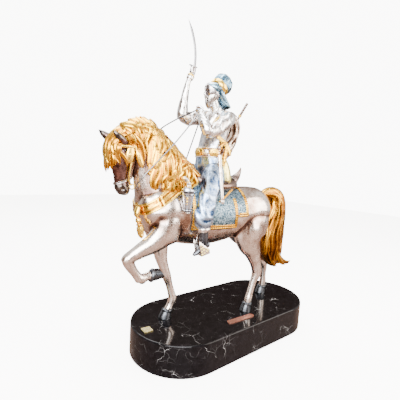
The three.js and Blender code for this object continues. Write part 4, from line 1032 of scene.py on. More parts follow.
# rows for the right side, and how many ribs are chased round them
BRIDLE_PARTS = (
    ([[-221, 12.6, 266, 1.6, 2.2], [-226, 13.2, 276, 1.7, 2.4], [-226, 15.5, 292, 1.7, 2.6],
      [-223, 18.4, 318, 1.7, 2.6]], 0),
    ([[-229, 16.6, 303, 0.8, 1.2], [-229, 18.4, 305.5, 5.6, 1.8], [-229, 19.6, 313, 6.6, 2.0],
      [-228, 19.6, 321, 6.6, 2.0], [-227, 18.6, 328, 5.0, 1.8], [-227, 18.0, 330, 0.8, 0.8]], 0),
    ([[-247, 16.4, 328.5, 2.0, 2.2], [-240, 18, 329, 2.8, 2.6], [-230, 19, 329, 2.8, 2.4],
      [-218, 19.4, 327, 2.6, 2.4]], 6),
    ([[-221, 19.6, 331, 3.2, 3.0], [-218.5, 21.4, 324, 2.0, 2.0], [-216, 22.2, 319, 4.6, 3.8],
      [-212.5, 23, 309, 5.2, 4.2], [-208.6, 23.4, 300, 4.2, 3.4], [-207, 23.4, 296, 0.8, 0.8]], 8))
strap("bridle_noseband", [turned(profile(HEAD, 28, grow=1.6))], [-232, 0, 272.5], slope(-20), 1.5, "bridle",
      STEEL, voxel=0.6, thick=1.3, border_mm=0.3)
bridle = []
for side in (-1, 1):
    for rows, ribs in BRIDLE_PARTS:
        bridle.append(limb(turned_rows(rows, side), 18, across=(1, 0, 0), steps=6,
                           fold=ribbed(0.1 if ribs else 0, ribs)))
    bridle.append(ball(turned([-229, side * 21.4, 316]), 3.0, (1, 0.5, 1)))
    bridle.append(hoop(bit_ring(side), 4.2, 1.1))
solid("bridle_straps", bridle, "bridle", "gilt_metal", PALE_GILT)

# the pastern's end and the hoof's toe on the ground, for the three feet that stand
HOOVES = [((-121, 20, 16), (-126, 20)), ((48, -31, 16), (44, -31)), ((152.5, 29, 16), (148.5, 29))]
hooves = []
for (x, y, z), (toe_x, toe_y) in HOOVES:
    hoof = limb([[x, y, z + 3.4, 7.4, 8.2], [x, y, z + 2.0, 9.8, 10.4], [x - 0.2, y, z + 0.4, 10.6, 11.2],
                 [x - 0.5, y, z - 1.4, 10.2, 10.8], [x - 0.8, y, z - 2.6, 9.4, 10.0],
                 [(x + toe_x) / 2 - 0.6, y, z * 0.45, 10.6, 11.8],
                 [toe_x, toe_y, 0.2, 11.6, 13.2], [toe_x, toe_y, -0.6, 11.4, 13.0]], 28, steps=4)
    hoof[..., 2] = np.maximum(hoof[..., 2], 0.3)
    hooves.append(hoof)
raised = profile([[-187, 101.5, -183, 121.5, 8.4], [-185, 99.5, -180, 123, 10.4],
                  [-182.5, 99, -178, 123, 10.6], [-181, 100.4, -176.6, 121.8, 9.6],
                  [-171, 101.6, -171.5, 121.6, 10.8], [-160, 104.5, -168, 121, 11.8],
                  [-159.4, 105.5, -167.4, 120, 10.4]], 28, steps=4)
hooves.append(raised + [0, -26.5, 0])
solid("hooves", hooves, "horse", "silvered_metal", HORN)

# eyes of dark lacquer over metal, very smooth, so that each shows one bright point
DARK_GLASS = mottled("dark_eye", 0.0, 0.08, 2.5, [(0.3, "#050304"), (0.8, "#1a0d0a")])[0]
eyes = [ball(turned([-234.5, side * 14.9, 322.4]), 3.4, (1.2, 0.8, 0.8)) for side in (-1, 1)]
solid("horse_eyes", eyes, "horse", "dark_metal", DARK_GLASS)
print("bridle:", len(bridle), "skins, hooves:", len(hooves))

# %% [markdown]
# Saddle, holsters, pistols and stirrups: small hard things, so their edges are kept tighter
# than the horse's.
# %% Saddle and its gear
saddle = clay("saddle_seat", [
    limb([[-102, 0, 284, 13, 11], [-90, 0, 281, 22, 14], [-72, 0, 273, 30, 15], [-45, 0, 269, 33, 15],
          [-20, 0, 269, 32, 15], [0, 0, 271, 25, 14], [9, 0, 273, 17, 10]], 36),
    limb([[-6, 0, 272, 24, 8], [6, 0, 281, 21, 6], [17, 0, 288, 14, 4.4], [25, 0, 296, 7, 3.4],
          [29, 0, 304, 3, 2.2], [30, 0, 309, 1.2, 1.2]], 28),
    limb([[-94, 0, 283, 12, 8], [-94, 0, 298, 8, 6], [-94, 0, 306, 6.5, 5.5], [-94, 0, 310, 3, 3]], 24)],
    voxel=1.6, rounds=3)
paint(saddle, "hollow", hollows(saddle))
settle(saddle, "saddle", DARK)

UPRIGHT = (0, 0, 1)
for side, name in ((-1, "left"), (1, "right")):
    at = np.array([-132.0, side * 53.0, 262.0])
    holster, pistol = f"holster_{name}", f"pistol_{name}"
    pouch = limb(shifted([
        [0, 0, 0.8, 7.0, 8.4], [-0.2, 0, 0.4, 9.6, 11.4], [-0.6, 0.4, -0.8, 11.0, 12.8],
        [-0.6, 0.6, -2.4, 10.6, 12.4], [-0.6, 0.6, -4, 8.6, 10.2], [0, 0, -8, 9.2, 10.2],
        [0, 0, -18, 7.8, 8.6], [0, 0, -31, 5.8, 6.2], [0, 0, -33, 6.2, 6.6], [0, 0, -35, 6.2, 6.6],
        [0, 0, -36, 5.2, 5.6]], at, side), 32)
    hanger = limb(shifted([[2, -2, -6, 7, 4], [6, -16, 6, 7, 4], [10, -32, 16, 6, 3]], at, side), 20,
                  across=(1, 0, 0))
    solid(f"{holster}_body", [pouch, hanger], holster, "blue_enamel", GUNMETAL)
    bands = [hoop(at + [dx, side * dy, dz], radius, thick, UPRIGHT) for dx, dy, dz, radius, thick in (
        (-0.6, 0.5, -3.4, 10.4, 0.9), (0, 0, -7.6, 9.8, 0.7), (0, 0, -32, 6.3, 0.8), (0, 0, -36, 6.2, 0.9))]
    solid(f"{holster}_bands", bands, holster, "dark_metal", WIRE)
    scroll = [ball(at + [dx, side * dy, dz], radius, squash) for dx, dy, dz, radius, squash in (
        (-5.6, 6.4, -13.0, 2.4, (0.8, 0.8, 1.2)), (-5.0, 5.6, -18.4, 1.8, (0.9, 0.9, 1.3)),
        (-7.8, 3.2, -10.4, 1.5, (1, 1, 1)), (-2.2, 7.2, -10.4, 1.5, (1, 1, 1)),
        (-4.4, 5.0, -23.0, 1.2, (0.9, 0.9, 1.6)))]
    solid(f"{holster}_scroll", scroll, holster, "gilt_metal", PALE_GILT)
    solid(f"{holster}_knob", [ball(at + [0, 0, -38], 4.6, (1, 1, 0.8))], holster, "silvered_metal", SILVER)
    butt = shifted([[0, 0, -6, 3, 4], [0, 0, 5, 3.4, 4.8], [-1, 0, 12, 3.3, 4.2], [-5, 0, 18, 3.2, 3.7],
                    [-10, 0, 20.6, 3.8, 4], [-13.4, 0, 20.6, 2.4, 2.4], [-14, 0, 20.6, 0.6, 0.6]], at)
    grip_rings = ribbed(0.08, 0, 2 * math.pi * 9)
    solid(f"{pistol}_grip", [limb(butt, 24, steps=6, fold=grip_rings)], pistol, "silvered_metal", STEEL)
    mounts = [ball(at + [-12.4, 0, 20.4], 3.9, (0.7, 1, 1)),
              hoop(at + [-3.0, 0, 15.4], 3.9, 0.8, (-0.6, 0, 0.8)), hoop(at + [0, 0, 6], 4.6, 0.9, UPRIGHT)]
    solid(f"{pistol}_mounts", mounts, pistol, "gilt_metal", PALE_GILT)

# side view of a stirrup plate, and where its diamonds sit
STIRRUP_PLATE = ((-13, 17), (-10, 3), (-6, -11.5), (12, -7.5), (11.4, -3), (10, 1.5), (-2, 9))
DIAMONDS = ((-9, 8), (-7.4, 2.4), (-6, -3), (-4.6, -8), (-3.6, 4.6), (-1.6, -0.4), (-0.4, -6), (3.4, 2.4),
            (5, -3), (8.4, -0.6))
for side, name in ((-1, "left"), (1, "right")):
    foot = np.array([-48, side * 54.5, -127]) + SEAT
    plates = []
    for way in (-1, 1):
        rim = foot + np.array([[u, way * 9.4, v] for u, v in STIRRUP_PLATE])
        inner = rim.mean(0) + (rim - rim.mean(0)) * 0.9
        plates.append(np.stack([ring + [0, out, 0] for ring, out in (
            (inner, -0.95), (rim, -0.6), (rim, 0.6), (inner, 0.95))]))
    tread = limb(shifted([[-5, 0, -11.2, 8.8, 0.9], [11.4, 0, -7.4, 8.8, 0.9]], foot), 16)
    hung = [[-6, -9.4, 8, 1, 2.4], [-2, -9.4, 26, 1, 2.4], [0, -6.4, 44, 1, 2.4]]
    leather = limb(shifted(hung, foot, side), 14)
    stirrup = f"stirrup_{name}"
    solid(f"{stirrup}_plates", plates + [tread, leather], stirrup, "silvered_metal", SILVER)
    diamonds = [ball(foot + [u, way * 10.6, v], 1.5, (1.3, 0.5, 1.1), 8, 12)
                for way in (-1, 1) for u, v in DIAMONDS]
    solid(f"{stirrup}_pattern", diamonds, stirrup, "gilt_metal", SASH_GILT)
print("saddle:", len(saddle.data.polygons), "faces")

# %% [markdown]
# The rider is built like the horse, in clay, but garment by garment, for each has its own
# finish. A fold in cloth is a wave in the section's radius that travels along the limb.
# %% The rider's clothes
def crease(turns):
    """Narrow folds with wide troughs between, as loose cloth hangs: 1 - |sin|^0.7, mean near zero."""
    return 0.42 - np.abs(np.sin(turns)) ** 0.7


def creased(depth, about, down, fading=False):
    """A fold for limb(): 1 + depth crease(about a + down t), times sin(pi t) where it fades."""
    return lambda a, t: 1 + depth * crease(about * a + down * t) * (np.sin(math.pi * t) if fading else 1)


def sleeve_fold(angle, along):
    """Folds that hang in arcs under the arm, crossed by finer ones, and die out at the ends."""
    window = np.sin(math.pi * along) ** 0.4
    arcs = crease(13 * along + 1.9 * np.cos(angle + 0.7) + 0.5 * np.sin(3 * angle))
    fine = crease(27 * along - 3.2 * np.cos(angle - 0.8) + 0.8 * np.sin(2 * angle))
    return 1 + window * (0.125 * arcs + 0.035 * fine + 0.04 * crease(3.5 * angle + 5 * along))


def trouser_fold(angle, along):
    """Hanging folds that cross and gather above the knee, none of them long."""
    window = np.sin(math.pi * along) ** 0.6
    hang = crease(2.5 * angle + 7 * along + 0.9 * np.sin(9 * along))
    across = crease(13 * along ** 1.6 + 2.0 * np.cos(angle + 1.0) + 0.6 * np.sin(3 * angle))
    fine = crease(26 * along + 3.2 * np.cos(angle - 0.4))
    return 1 + window * (0.08 * hang + 0.11 * across + 0.05 * fine)


TORSO = [[0, 0, 2, 30, 24], [-4, 0, 22, 32, 25], [-5, 0, 37, 31, 24], [-4, 0, 48, 29, 23],
         [-1, 0, 64, 30, 23], [4, 0, 82, 32.5, 22.5], [8, 0, 98, 34.5, 21], [11, 0, 118, 31, 16],
         [8, 0, 130, 15, 12]]
CLOAK = [[14, 0, 126, 22, 8], [24, -3, 118, 31, 11], [31, -7, 105, 33.5, 13], [33, -8, 93, 31, 14.5],
         [29, -8, 81, 33, 13], [27, -8, 69, 29, 14.5], [22, -8, 58, 29.5, 12], [18, -7, 48, 25, 12.5],
         [13, -6, 38, 22, 8]]
LEFT_UPPER = [[16, -27, 117, 12, 11], [10, -36, 112, 13, 14], [-8, -43, 100, 12.5, 14],
              [-24, -46, 89, 12, 12.6], [-37, -46, 83, 11, 11], [-45, -44, 82, 8, 8.4]]
LEFT_FORE = [[-42, -46, 79, 8.6, 9.6], [-46, -44, 88, 10.8, 11], [-48, -38, 99, 10, 10.4],
             [-48, -31, 109, 7.4, 7.8], [-46.6, -26, 115, 5.6, 5.8], [-46, -23, 119, 5.2, 5.4]]
RIGHT_UPPER = [[12, 26, 120, 12, 12], [2, 34, 122, 14, 14], [-16, 37, 118, 13.5, 15],
               [-34, 37, 114, 12.5, 14], [-48, 36, 116, 11, 11], [-56, 35, 121, 7, 7]]
RIGHT_FORE = [[-52, 35, 112, 9.5, 9], [-51, 34.5, 124, 10.5, 11.4], [-49.5, 33.5, 142, 8.4, 9],
              [-47, 32.5, 162, 6.6, 7], [-43.5, 31.5, 182, 5, 5.4], [-39, 31, 193, 4.8, 5.2],
              [-36, 31, 198, 5, 5.2]]


def cloak_fold(angle, along):
    """Broad folds that wander as they fall, over a slow swell."""
    return 1 + 0.09 * crease(6.5 * angle + 3 * np.sin(4 * along)) + 0.03 * np.cos(3 * angle - 7 * along)


def garment(name, grids, material, voxel=1.1, rounds=2, spots=()):
    """A clay piece of the rider, carved and given its finish."""
    made = clay(name, grids, voxel, rounds)
    if spots:
        p, n = read_points(made)
        write_points(made, carve(p, n, spots))
    paint(made, "hollow", hollows(made, 2))
    return settle(made, "rider", material)


def s_limb(rows, around=32, side=1, **kw):
    """A limb of the rider, from the seat."""
    return limb(from_seat(rows, side), around, **kw)


sleeves = [s_limb(rows, 40, fold=sleeve_fold, steps=12)
           for rows in (LEFT_UPPER, LEFT_FORE, RIGHT_UPPER, RIGHT_FORE)]
shoulders = s_limb([[10, 0, 107, 31.5, 17.5], [11, 0, 116, 30.4, 16.4], [8, 0, 130, 15.6, 12.8]], 48,
                   fold=creased(0.03, 5, 4))
shirt_front = s_limb([[-13, -5, 80, 3, 6], [-11.5, -3, 92, 8, 9], [-7, 0, 106, 15, 11],
                      [0, 0, 120, 18, 12]], 32, fold=creased(0.05, 6, 3))
neck = s_limb([[8, 0, 122, 12, 12], [2, 0, 136, 10, 10.5], [-3, 0, 150, 9, 10]])
garment("rider_shirt", sleeves + [shoulders, shirt_front, neck], LINEN, voxel=0.9, rounds=1)
garment("rider_vest", [s_limb(TORSO[3:], 48, steps=8, fold=creased(0.03, 5, 6, fading=True))],
        NIELLO)
garment("trousers_top", [s_limb(TORSO[:4], 56, steps=10, fold=creased(0.05, 6, 2, fading=True))],
        BLUE)
garment("rider_cloak", [s_limb(CLOAK, 56, steps=10, fold=cloak_fold)], TAN)
V_NECK = [[[-4, 15, 120, 1, 1], [-8, 9, 110, 4.2, 1.3], [-15.4, -1, 94, 4.4, 1.3], [-19.2, -9, 80, 3.6, 1.3],
           [-20, -11, 76, 1, 1]],
          [[-2, -22, 119, 1, 1], [-9, -20.4, 107, 4, 1.3], [-16, -17.4, 93, 3.8, 1.3],
           [-19.6, -12, 80, 3, 1.3], [-20, -11, 76, 1, 1]]]
EDGING = [[-9, -27, 86, 2, 1], [-6.8, -29.4, 78, 4.6, 1.8], [6.7, -34, 66, 5.4, 1.8],
          [15, -36.4, 54, 5.2, 1.8], [18.3, -37, 44, 3, 1.4]]
trim = [s_limb(rows, 20, across=(0.1, 1, 0), steps=8) for rows in V_NECK]
trim.append(s_limb(EDGING, 24, across=(0.5, 0.3, 1), steps=8, fold=ribbed(0.06, 6)))
solid("gilt_edging", trim, "rider", "gilt_metal", PALE_GILT)
# trouser leg, boot shaft, boot foot and knee cuff, written for the right side
TROUSER = [[4, 14, 22, 18, 24], [-8, 26, 4, 19, 25], [-24, 38, -18, 17.2, 23.2], [-37, 46, -40, 16.2, 21.4],
           [-45.5, 51, -66, 17.4, 22.4], [-46, 52.5, -80, 15.4, 19.4], [-45, 53, -91, 9.2, 10.6]]
SHAFT = [[-45.5, 53, -86, 8.2, 9.2], [-44, 53, -106, 7.6, 8.8], [-43, 53.6, -116, 6.8, 8],
         [-42, 54, -122, 6.8, 8.6]]
FOOT = [[-33, 54, -119, 5.4, 6], [-41, 54, -121, 6.6, 7.8], [-50, 54.5, -127, 6.4, 6.4],
        [-59, 55, -133, 5.6, 4.8], [-66, 55, -137, 2.6, 2.2]]
KNEE_CUFF = [[-45.4, 53, -87.5, 9.6, 11], [-45.3, 53, -90, 11.2, 12.8], [-45.3, 53, -93, 11, 12.6],
             [-45, 53, -96, 9.4, 10.8]]
for side, name in ((-1, "left"), (1, "right")):
    garment(f"trousers_{name}", [s_limb(TROUSER, 64, side, fold=trouser_fold, steps=14)], BLUE,
            voxel=1.2, rounds=1)
    garment(f"boot_{name}", [s_limb(SHAFT, 28, side), s_limb(FOOT, 28, side)], BLACK, voxel=0.8)
    cuff = s_limb(KNEE_CUFF, 32, side, fold=ribbed(0.06, 14))
    solid(f"knee_cuff_{name}", [cuff], "rider", "silvered_metal", SILVER)


# %% [markdown]
# The head is plain and calm: a few rounded rows and a soft hollow for each eye. The beard and
# the head cloth are skins of their own, so that each takes its own finish. Fingers are arcs
# round the grip and round the reins.
# %% Head, hands and head cloth
HEAD_LEAN, RIDER_TURN = math.radians(-6), math.radians(-4)
HEAD_CENTRE = SEAT + [-4, 0, 164]


def on_head(points):
    """Written from the head's centre: leaned about y, turned about z, then set on the neck."""
    x, y, z = np.moveaxis(np.asarray(points, float), -1, 0)
    c, s = math.cos(HEAD_LEAN), math.sin(HEAD_LEAN)
    return spun(np.stack([x * c + z * s, y, z * c - x * s], -1), RIDER_TURN) + HEAD_CENTRE


def head_limb(rows, around=28, **kw):
    """A limb of the head; it is made at the centre and then set on the neck."""
    return on_head(limb(rows, around, **kw))


skull = [head_limb([[1, 0, 16, 11, 13], [0, 0, 10, 14.5, 17.3], [-0.5, 0, 2, 14.8, 17.8],
                    [-1.5, 0, -5, 13.6, 16.8], [-4, 0, -12, 10.6, 12.6], [-6, 0, -17, 7, 8]]),
         head_limb([[-15.8, 0, 5.4, 1.3, 1.6], [-17.8, 0, 0.6, 1.8, 2.2], [-19.6, 0, -3.2, 2.4, 2.6],
                    [-18, 0, -5.6, 2.6, 2.2], [-15, 0, -6, 1.6, 1.6]], 16),
         head_limb([[-17, -3.4, -9.2, 0.8, 0.8], [-18, 0, -8.9, 1.4, 1.1],
                    [-17, 3.4, -9.2, 0.8, 0.8]], 12, across=(0, 0, 1)),
         head_limb([[-12, -10, 5, 1.1, 1.2], [-15.8, -5, 5.8, 1.3, 1.3], [-16.4, 0, 5, 1.0, 1.2],
                    [-15.8, 5, 5.8, 1.3, 1.3], [-12, 10, 5, 1.1, 1.2]], 12)]
face_spots = [[*on_head([x, y, z]), *rest] for x, y, z, *rest in both([
    [-15.6, 5.6, 1.8, 3.2, 3.2, 2.4, -1.7], [-15.4, 5.8, 1.4, 1.8, 2.0, 1.4, 1.2],
    [-13, 9.6, -3.6, 4, 3, 3, 0.7]])]
garment("rider_head", skull, FLESH, voxel=0.6, rounds=4, spots=face_spots)


def beard_fold(angle, along):
    """Locks of the beard, and finer hairs on them."""
    grooves = 0.035 * np.cos(17 * angle + 5 * along) + 0.02 * np.cos(31 * angle - 3 * along)
    return 1 + grooves * np.clip(3 * along, 0, 1)


beard = [head_limb([[-3, 0, -6, 13.2, 11], [-6.4, 0, -11, 12.0, 10.8], [-9, 0, -17, 9.6, 9.4],
                    [-10.8, 0, -23, 7.0, 7.4], [-12, 0, -28, 3.8, 4.4],
                    [-12.4, 0, -31, 0.8, 1]], 56, fold=beard_fold, steps=8),
         head_limb([[-14.4, -7.6, -11.4, 0.5, 0.6], [-17.2, -4, -8.4, 1.0, 1.3], [-18.6, 0, -7.2, 1.1, 1.4],
                    [-17.2, 4, -8.4, 1.0, 1.3], [-14.4, 7.6, -11.4, 0.5, 0.6]], 14, across=(0, 0, 1))]
solid("beard", beard, "rider", "silvered_metal", STEEL)
crown = head_limb([[-14.4, 0, 15, 3, 2], [-13, 0, 14, 8, 4.6], [-9, 0, 11, 13.6, 8.2],
                   [-4, 0, 8.8, 16.6, 11.6], [2, 0, 7, 18.2, 14.2], [8, 0, 7, 18.8, 16.4],
                   [13, 0, 9.4, 19.4, 18.4], [18, 0, 14, 20.4, 20.4], [24, 0, 19, 20.6, 20.4],
                   [30, 0, 23.4, 17.6, 17.2], [34, 0, 26.2, 9.4, 9.8], [35, 0, 27, 2, 2]],
                  64, fold=lambda a, t: 1 + 0.07 * (0.3 + t) * crease(4.5 * a + 3 * t), steps=8)
flap = head_limb([[7, 0, 6, 17.4, 11.6], [14, 0, -8, 17.6, 8.6], [22, 0, -20, 17.4, 6.6],
                  [29, 0, -28, 16.6, 3.8], [30, 0, -29, 14, 2]], 64, fold=creased(0.09, 5.5, 3), steps=8)
garment("head_cloth", [crown, flap], HAT_BLUE, voxel=1.0)
band = head_limb([[7.6, 0, 5.6, 18.6, 16.6], [9.4, 0, 7, 20.2, 18.2], [11.4, 0, 8.6, 20.8, 18.8],
                  [14.4, 0, 11, 20.8, 19.4], [16, 0, 12.2, 20.2, 19]], 72, fold=ribbed(0.012, 36))
solid("head_cloth_band", [band], "rider", "gilt_metal", PALE_GILT)


def finger(low, high, offset):
    """One finger curled round a grip from low to high: an arc in the plane square to the grip."""
    axis = unit(high - low)
    out = unit(np.cross(axis, [0.25, 1.0, 0.1]))
    aside = np.cross(axis, out)
    a = np.radians(np.linspace(-150, 100, 9))[:, None]
    path = low + (high - low) * offset + 4.6 * (np.cos(a) * out + np.sin(a) * aside)
    size = np.array([0.7, 0.95, 1, 1, 1, 1, 0.98, 0.9, 0.55])[:, None] * 2.1
    return s_limb(np.hstack([path, size, size]), 14, across=axis, steps=4)


hands = []
for low, high in np.array([[[-36, 31, 196], [-32.5, 30, 214]], [[-44, -28, 116], [-46, -13, 125]]]):
    hands.append(s_limb([[*low, 4.6, 5], [*(low + high) / 2, 5.4, 5.8], [*high, 4, 4.4]], 20))
    hands += [finger(low, high, offset) for offset in (0.14, 0.38, 0.62, 0.86)]
for thumb in ([[-42, -24, 124, 2.2, 2.2], [-47, -20, 128.4, 2.5, 2.5], [-52, -16, 127, 1.6, 1.6]],
              [[-39, 26, 200, 2.0, 2.0], [-40, 26, 208, 2.4, 2.4], [-37, 25, 214, 1.6, 1.6]]):
    hands.append(s_limb(thumb, 14))
garment("hands", hands, FLESH, voxel=0.5, rounds=1)
cuff = s_limb([[-41.2, 31.2, 187.6, 5, 5.4], [-40.6, 31.2, 189, 6.4, 6.8], [-37.8, 31, 194.6, 6.4, 6.8],
               [-37.2, 31, 196, 4.8, 5.2]], 24)
collar_ring = s_limb([[6, 0, 126, 12.8, 12.8], [4, 0, 131, 13.4, 13.4], [1, 0, 135, 12.4, 12.4],
                      [0, 0, 136, 10, 10.4]], 32, fold=ribbed(0.03, 12))
left_cuff = s_limb([[-45.8, -27, 113.4, 5.6, 6], [-46, -26, 114.6, 7.2, 7.8], [-46.2, -23.8, 118, 7, 7.6],
                    [-46.4, -23, 119.2, 5, 5.4]], 24)
solid("cuffs_and_collar", [cuff, left_cuff, collar_ring], "rider", "silvered_metal", LINEN)
cuff_edge = s_limb([[-38.6, 31, 193, 6.5, 6.9], [-38.2, 31, 194, 7.1, 7.5], [-37.6, 31, 195.4, 6.9, 7.3],
                    [-37.2, 31, 196.2, 6, 6.4]], 28)
solid("cuff_edge", [cuff_edge], "rider", "gilt_metal", PALE_GILT)
print("hands:", len(hands), "skins")

# %% [markdown]
# The belt is another slice of the body. Its plates are bent round the waist, because a flat
# plate would stand off a round belly. The sash hangs from a knot in two tails.
# %% Belt and sash
WAIST = SEAT + [-4, 0, 48]
belt = strap("belt", [s_limb(TORSO, 40, grow=1.2)], WAIST, UPRIGHT, 9.4, "rider", SILVER,
             voxel=1.0, thick=1.5, border_mm=0.8, relief=lambda p, away: 0.3 * np.cos(away * 1.4))


def buckle(low, high, tall, out):
    """A plate bent round the waist between two angles: x = -(24 + out) cos a, y = (30 + out) sin a,
    with rounded ends."""
    a = np.radians(np.linspace(low, high, 9))[:, None]
    path = WAIST + np.hstack([-(24 + out) * np.cos(a), (30 + out) * np.sin(a), 0 * a])
    size = np.array([0.45, 0.8, 0.95, 1, 1.08, 1, 0.95, 0.8, 0.45])[:, None]
    return limb(np.hstack([path, tall * size, 1.7 * size ** 0.5]), 28, across=UPRIGHT, steps=5,
                fold=ribbed(0.035, 0, 40))


plates = [buckle(44, -22, 8.8, 1.6), buckle(-46, -84, 7.6, 1.8), buckle(30, -8, 4.6, 3.0),
          buckle(-56, -74, 4.0, 3.0)]
solid("belt_plates", plates, "rider", "gilt_metal", PALE_GILT)
solid("belt_clasp", [buckle(-26, -42, 5.4, 2.4)], "rider", "silvered_metal", LINEN)
sash = [s_limb(rows, 24, across=(1, 0.3, 0), steps=8, fold=ribbed(0.08, 7, 2)) for rows in (
    [[9, -24, 42, 7, 3.6], [14, -30, 26, 7.8, 4.4], [17, -34, 10, 8.4, 4], [19, -35, -3, 8.8, 3],
     [19, -35, -5, 7, 2]],
    [[3, -23, 40, 4.6, 3.6], [6, -29, 24, 5.2, 3.8], [8, -34, 11, 5.2, 3.6], [8, -34, 9.6, 4, 2.4]])]
knot = [ball(SEAT + [5, -29, 40], 5.2, (1.2, 0.7, 1.0))]
solid("sash", sash + knot, "rider", "gilt_metal", SASH_GILT)
print("belt:", len(belt.data.polygons), "faces")

# %% [markdown]
# The weapons are stiff, straight things, so most are one limb whose half-axes jump where a
# band sits. A blade differs from a rod only in its section, which has two edges. The reins are
# drawn wires that run from the hand to the bit.
# %% Weapons and reins
def lens(angle, along):
    """A section with two edges: 1 / (|cos| + |sin|)."""
    return 1 / (np.abs(np.cos(angle)) + np.abs(np.sin(angle))) + 0 * along


grip = SEAT + [-34, 30.5, 206]
f = np.linspace(0, 1, 26)
taper = np.where(f > 0.8, 1 - (f - 0.8) * 4.2, 1)
blade_rows = np.stack([7 * (1 - (2 * f - 0.75) ** 2) - 12 * f, 0 * f, 8 + 81.6 * f,
                       np.maximum(taper, 0.3) * 1.2, 2.8 * taper], 1)
blade = limb(shifted(blade_rows, grip), 16, steps=2, fold=lens)
handle = limb(shifted([[-1, 0, -13, 1.4, 1.4], [-1, 0, -11.6, 2.7, 2.7], [-1, 0, -10, 2.7, 2.7],
                       [-1, 0, -8, 1.9, 2], [0, 0, 7.4, 1.9, 2.2]], grip), 18, steps=6)
guard = limb(shifted([[-9, 0, 9, 1.1, 1.1], [-7, 0, 8.8, 1.4, 1.4], [0, 0, 8, 1.8, 1.8],
                      [7, 0, 7.2, 1.4, 1.4], [9, 0, 7, 1.1, 1.1]], grip), 16)
solid("sabre_blade", [blade, handle, guard], "sabre", "silvered_metal", BLADE)
muzzle = np.array([45.2, -44.7, 145.7]) + SEAT
run = unit(np.array([0.02, 0.68, -0.73])) * 102
gun_rows = [[*(muzzle + run * f), a, b] for f, a, b in (
    (0, 1.9, 1.9), (0.004, 2.3, 2.3), (0.03, 2.3, 2.3), (0.036, 2.0, 2.0), (0.2, 2.1, 2.1),
    (0.33, 2.2, 2.2), (0.45, 2.4, 2.4), (0.5, 2.8, 4), (0.69, 3, 4.6), (0.78, 3, 5), (0.87, 3.2, 7),
    (0.99, 3.2, 8.4), (1, 2.4, 7.4))]
solid("rifle_body", [limb(gun_rows, 24, across=(1, 0, 0), steps=4)], "rifle", "dark_metal", STEEL)
solid("rifle_rings", [hoop(muzzle + run * f, 2.3, 0.5, run) for f in np.linspace(0.02, 0.24, 9)], "rifle",
      "dark_metal", DARK)
solid("rifle_band", [hoop(muzzle + run * f, 2.6, 0.9, run) for f in (0.27, 0.295)], "rifle", "gilt_metal",
      PALE_GILT)
sheath_rows = [[d * 0.06, -d * 0.13, -d, 2 * k, 3.2 * k] for d, k in (
    (-2, 0.8), (-1, 1.05), (0, 1.1), (6, 1.1), (8, 1.3), (10, 1.3), (11, 1.0), (30, 1.0), (31, 1.25),
    (33, 1.25), (34, 1.0), (60, 1.0), (79, 0.95), (81, 1.2), (84, 1.2), (87, 0.9), (88, 0.5))]
sheath = limb(shifted(sheath_rows, SEAT + [-15, -47, 42]), 20, across=(0.2, 1, 0), steps=3)
solid("scabbard_body", [sheath], "scabbard", "silvered_metal", SILVER)
dagger_rows = [[-3, -35, 56, 1.6, 1.8], [-2, -35, 62, 2.4, 2.8], [3, -34, 66.6, 2.7, 3.1],
               [8, -34, 63.6, 2.9, 3.3], [9, -35, 56, 3.1, 3.3], [7, -36, 46, 3.5, 3.7],
               [5, -37, 36, 3.1, 3.5], [3, -38, 24, 1.5, 1.9]]
dagger = s_limb(dagger_rows, 24, across=(0, 1, 0.3), steps=10, fold=ribbed(0.05, 0, 70))
solid("dagger_body", [dagger], "dagger", "gilt_metal", GILT)


def rein(name, points, node_name, finish=WIRE):
    """A drawn wire through a few points."""
    path = finer(points, 14)[None]
    size = np.full(path.shape[:2], 1.3)
    rings, _ = ribbons(path, np.broadcast_to([0.3, 1.0, 0.1], path.shape), size, size, 12)
    return solid(name, rings, node_name, "dark_metal", finish)


def rein_ring(side):
    """Where a rein meets the bit ring."""
    return bit_ring(side) + [4.2, side * 2.5, -1.5]


rein("rein_near_wire", [SEAT + [-45, -22, 121], [-150, -32, 343], [-203, -31, 286], rein_ring(-1)],
     "rein_near", BLADE)
rein("rein_far_wire", [SEAT + [-47, -16, 124], [-128, 10, 388], [-157, 25, 364], [-190, 33, 322],
                       [-212, 27, 284], rein_ring(1)], "rein_far")
loose = rein("rein_end_wire", [SEAT + [-43, -24, 118], [-105, 4, 317]], "rein_end")
print("the loose rein:", len(loose.data.polygons), "faces")

# %% [markdown]
# The plinth is black marble, cut with half-round ends and polished. A polished stone reads by
# its reflections, so it is very smooth, and only a little duller where a hand has smeared it.
# The veins are thin, branching and few: a net of large cells and a fainter one of small cells,
# both broken up into patches, and small flecks between.
# %% Plinth and plates
PLINTH_LONG, PLINTH_WIDE = 434.0, 200.0
# each net's cell in mm, and its line's width and strength
VEIN_NETS = ((75, 0.0028, 0.75), (24, 0.011, 0.13))


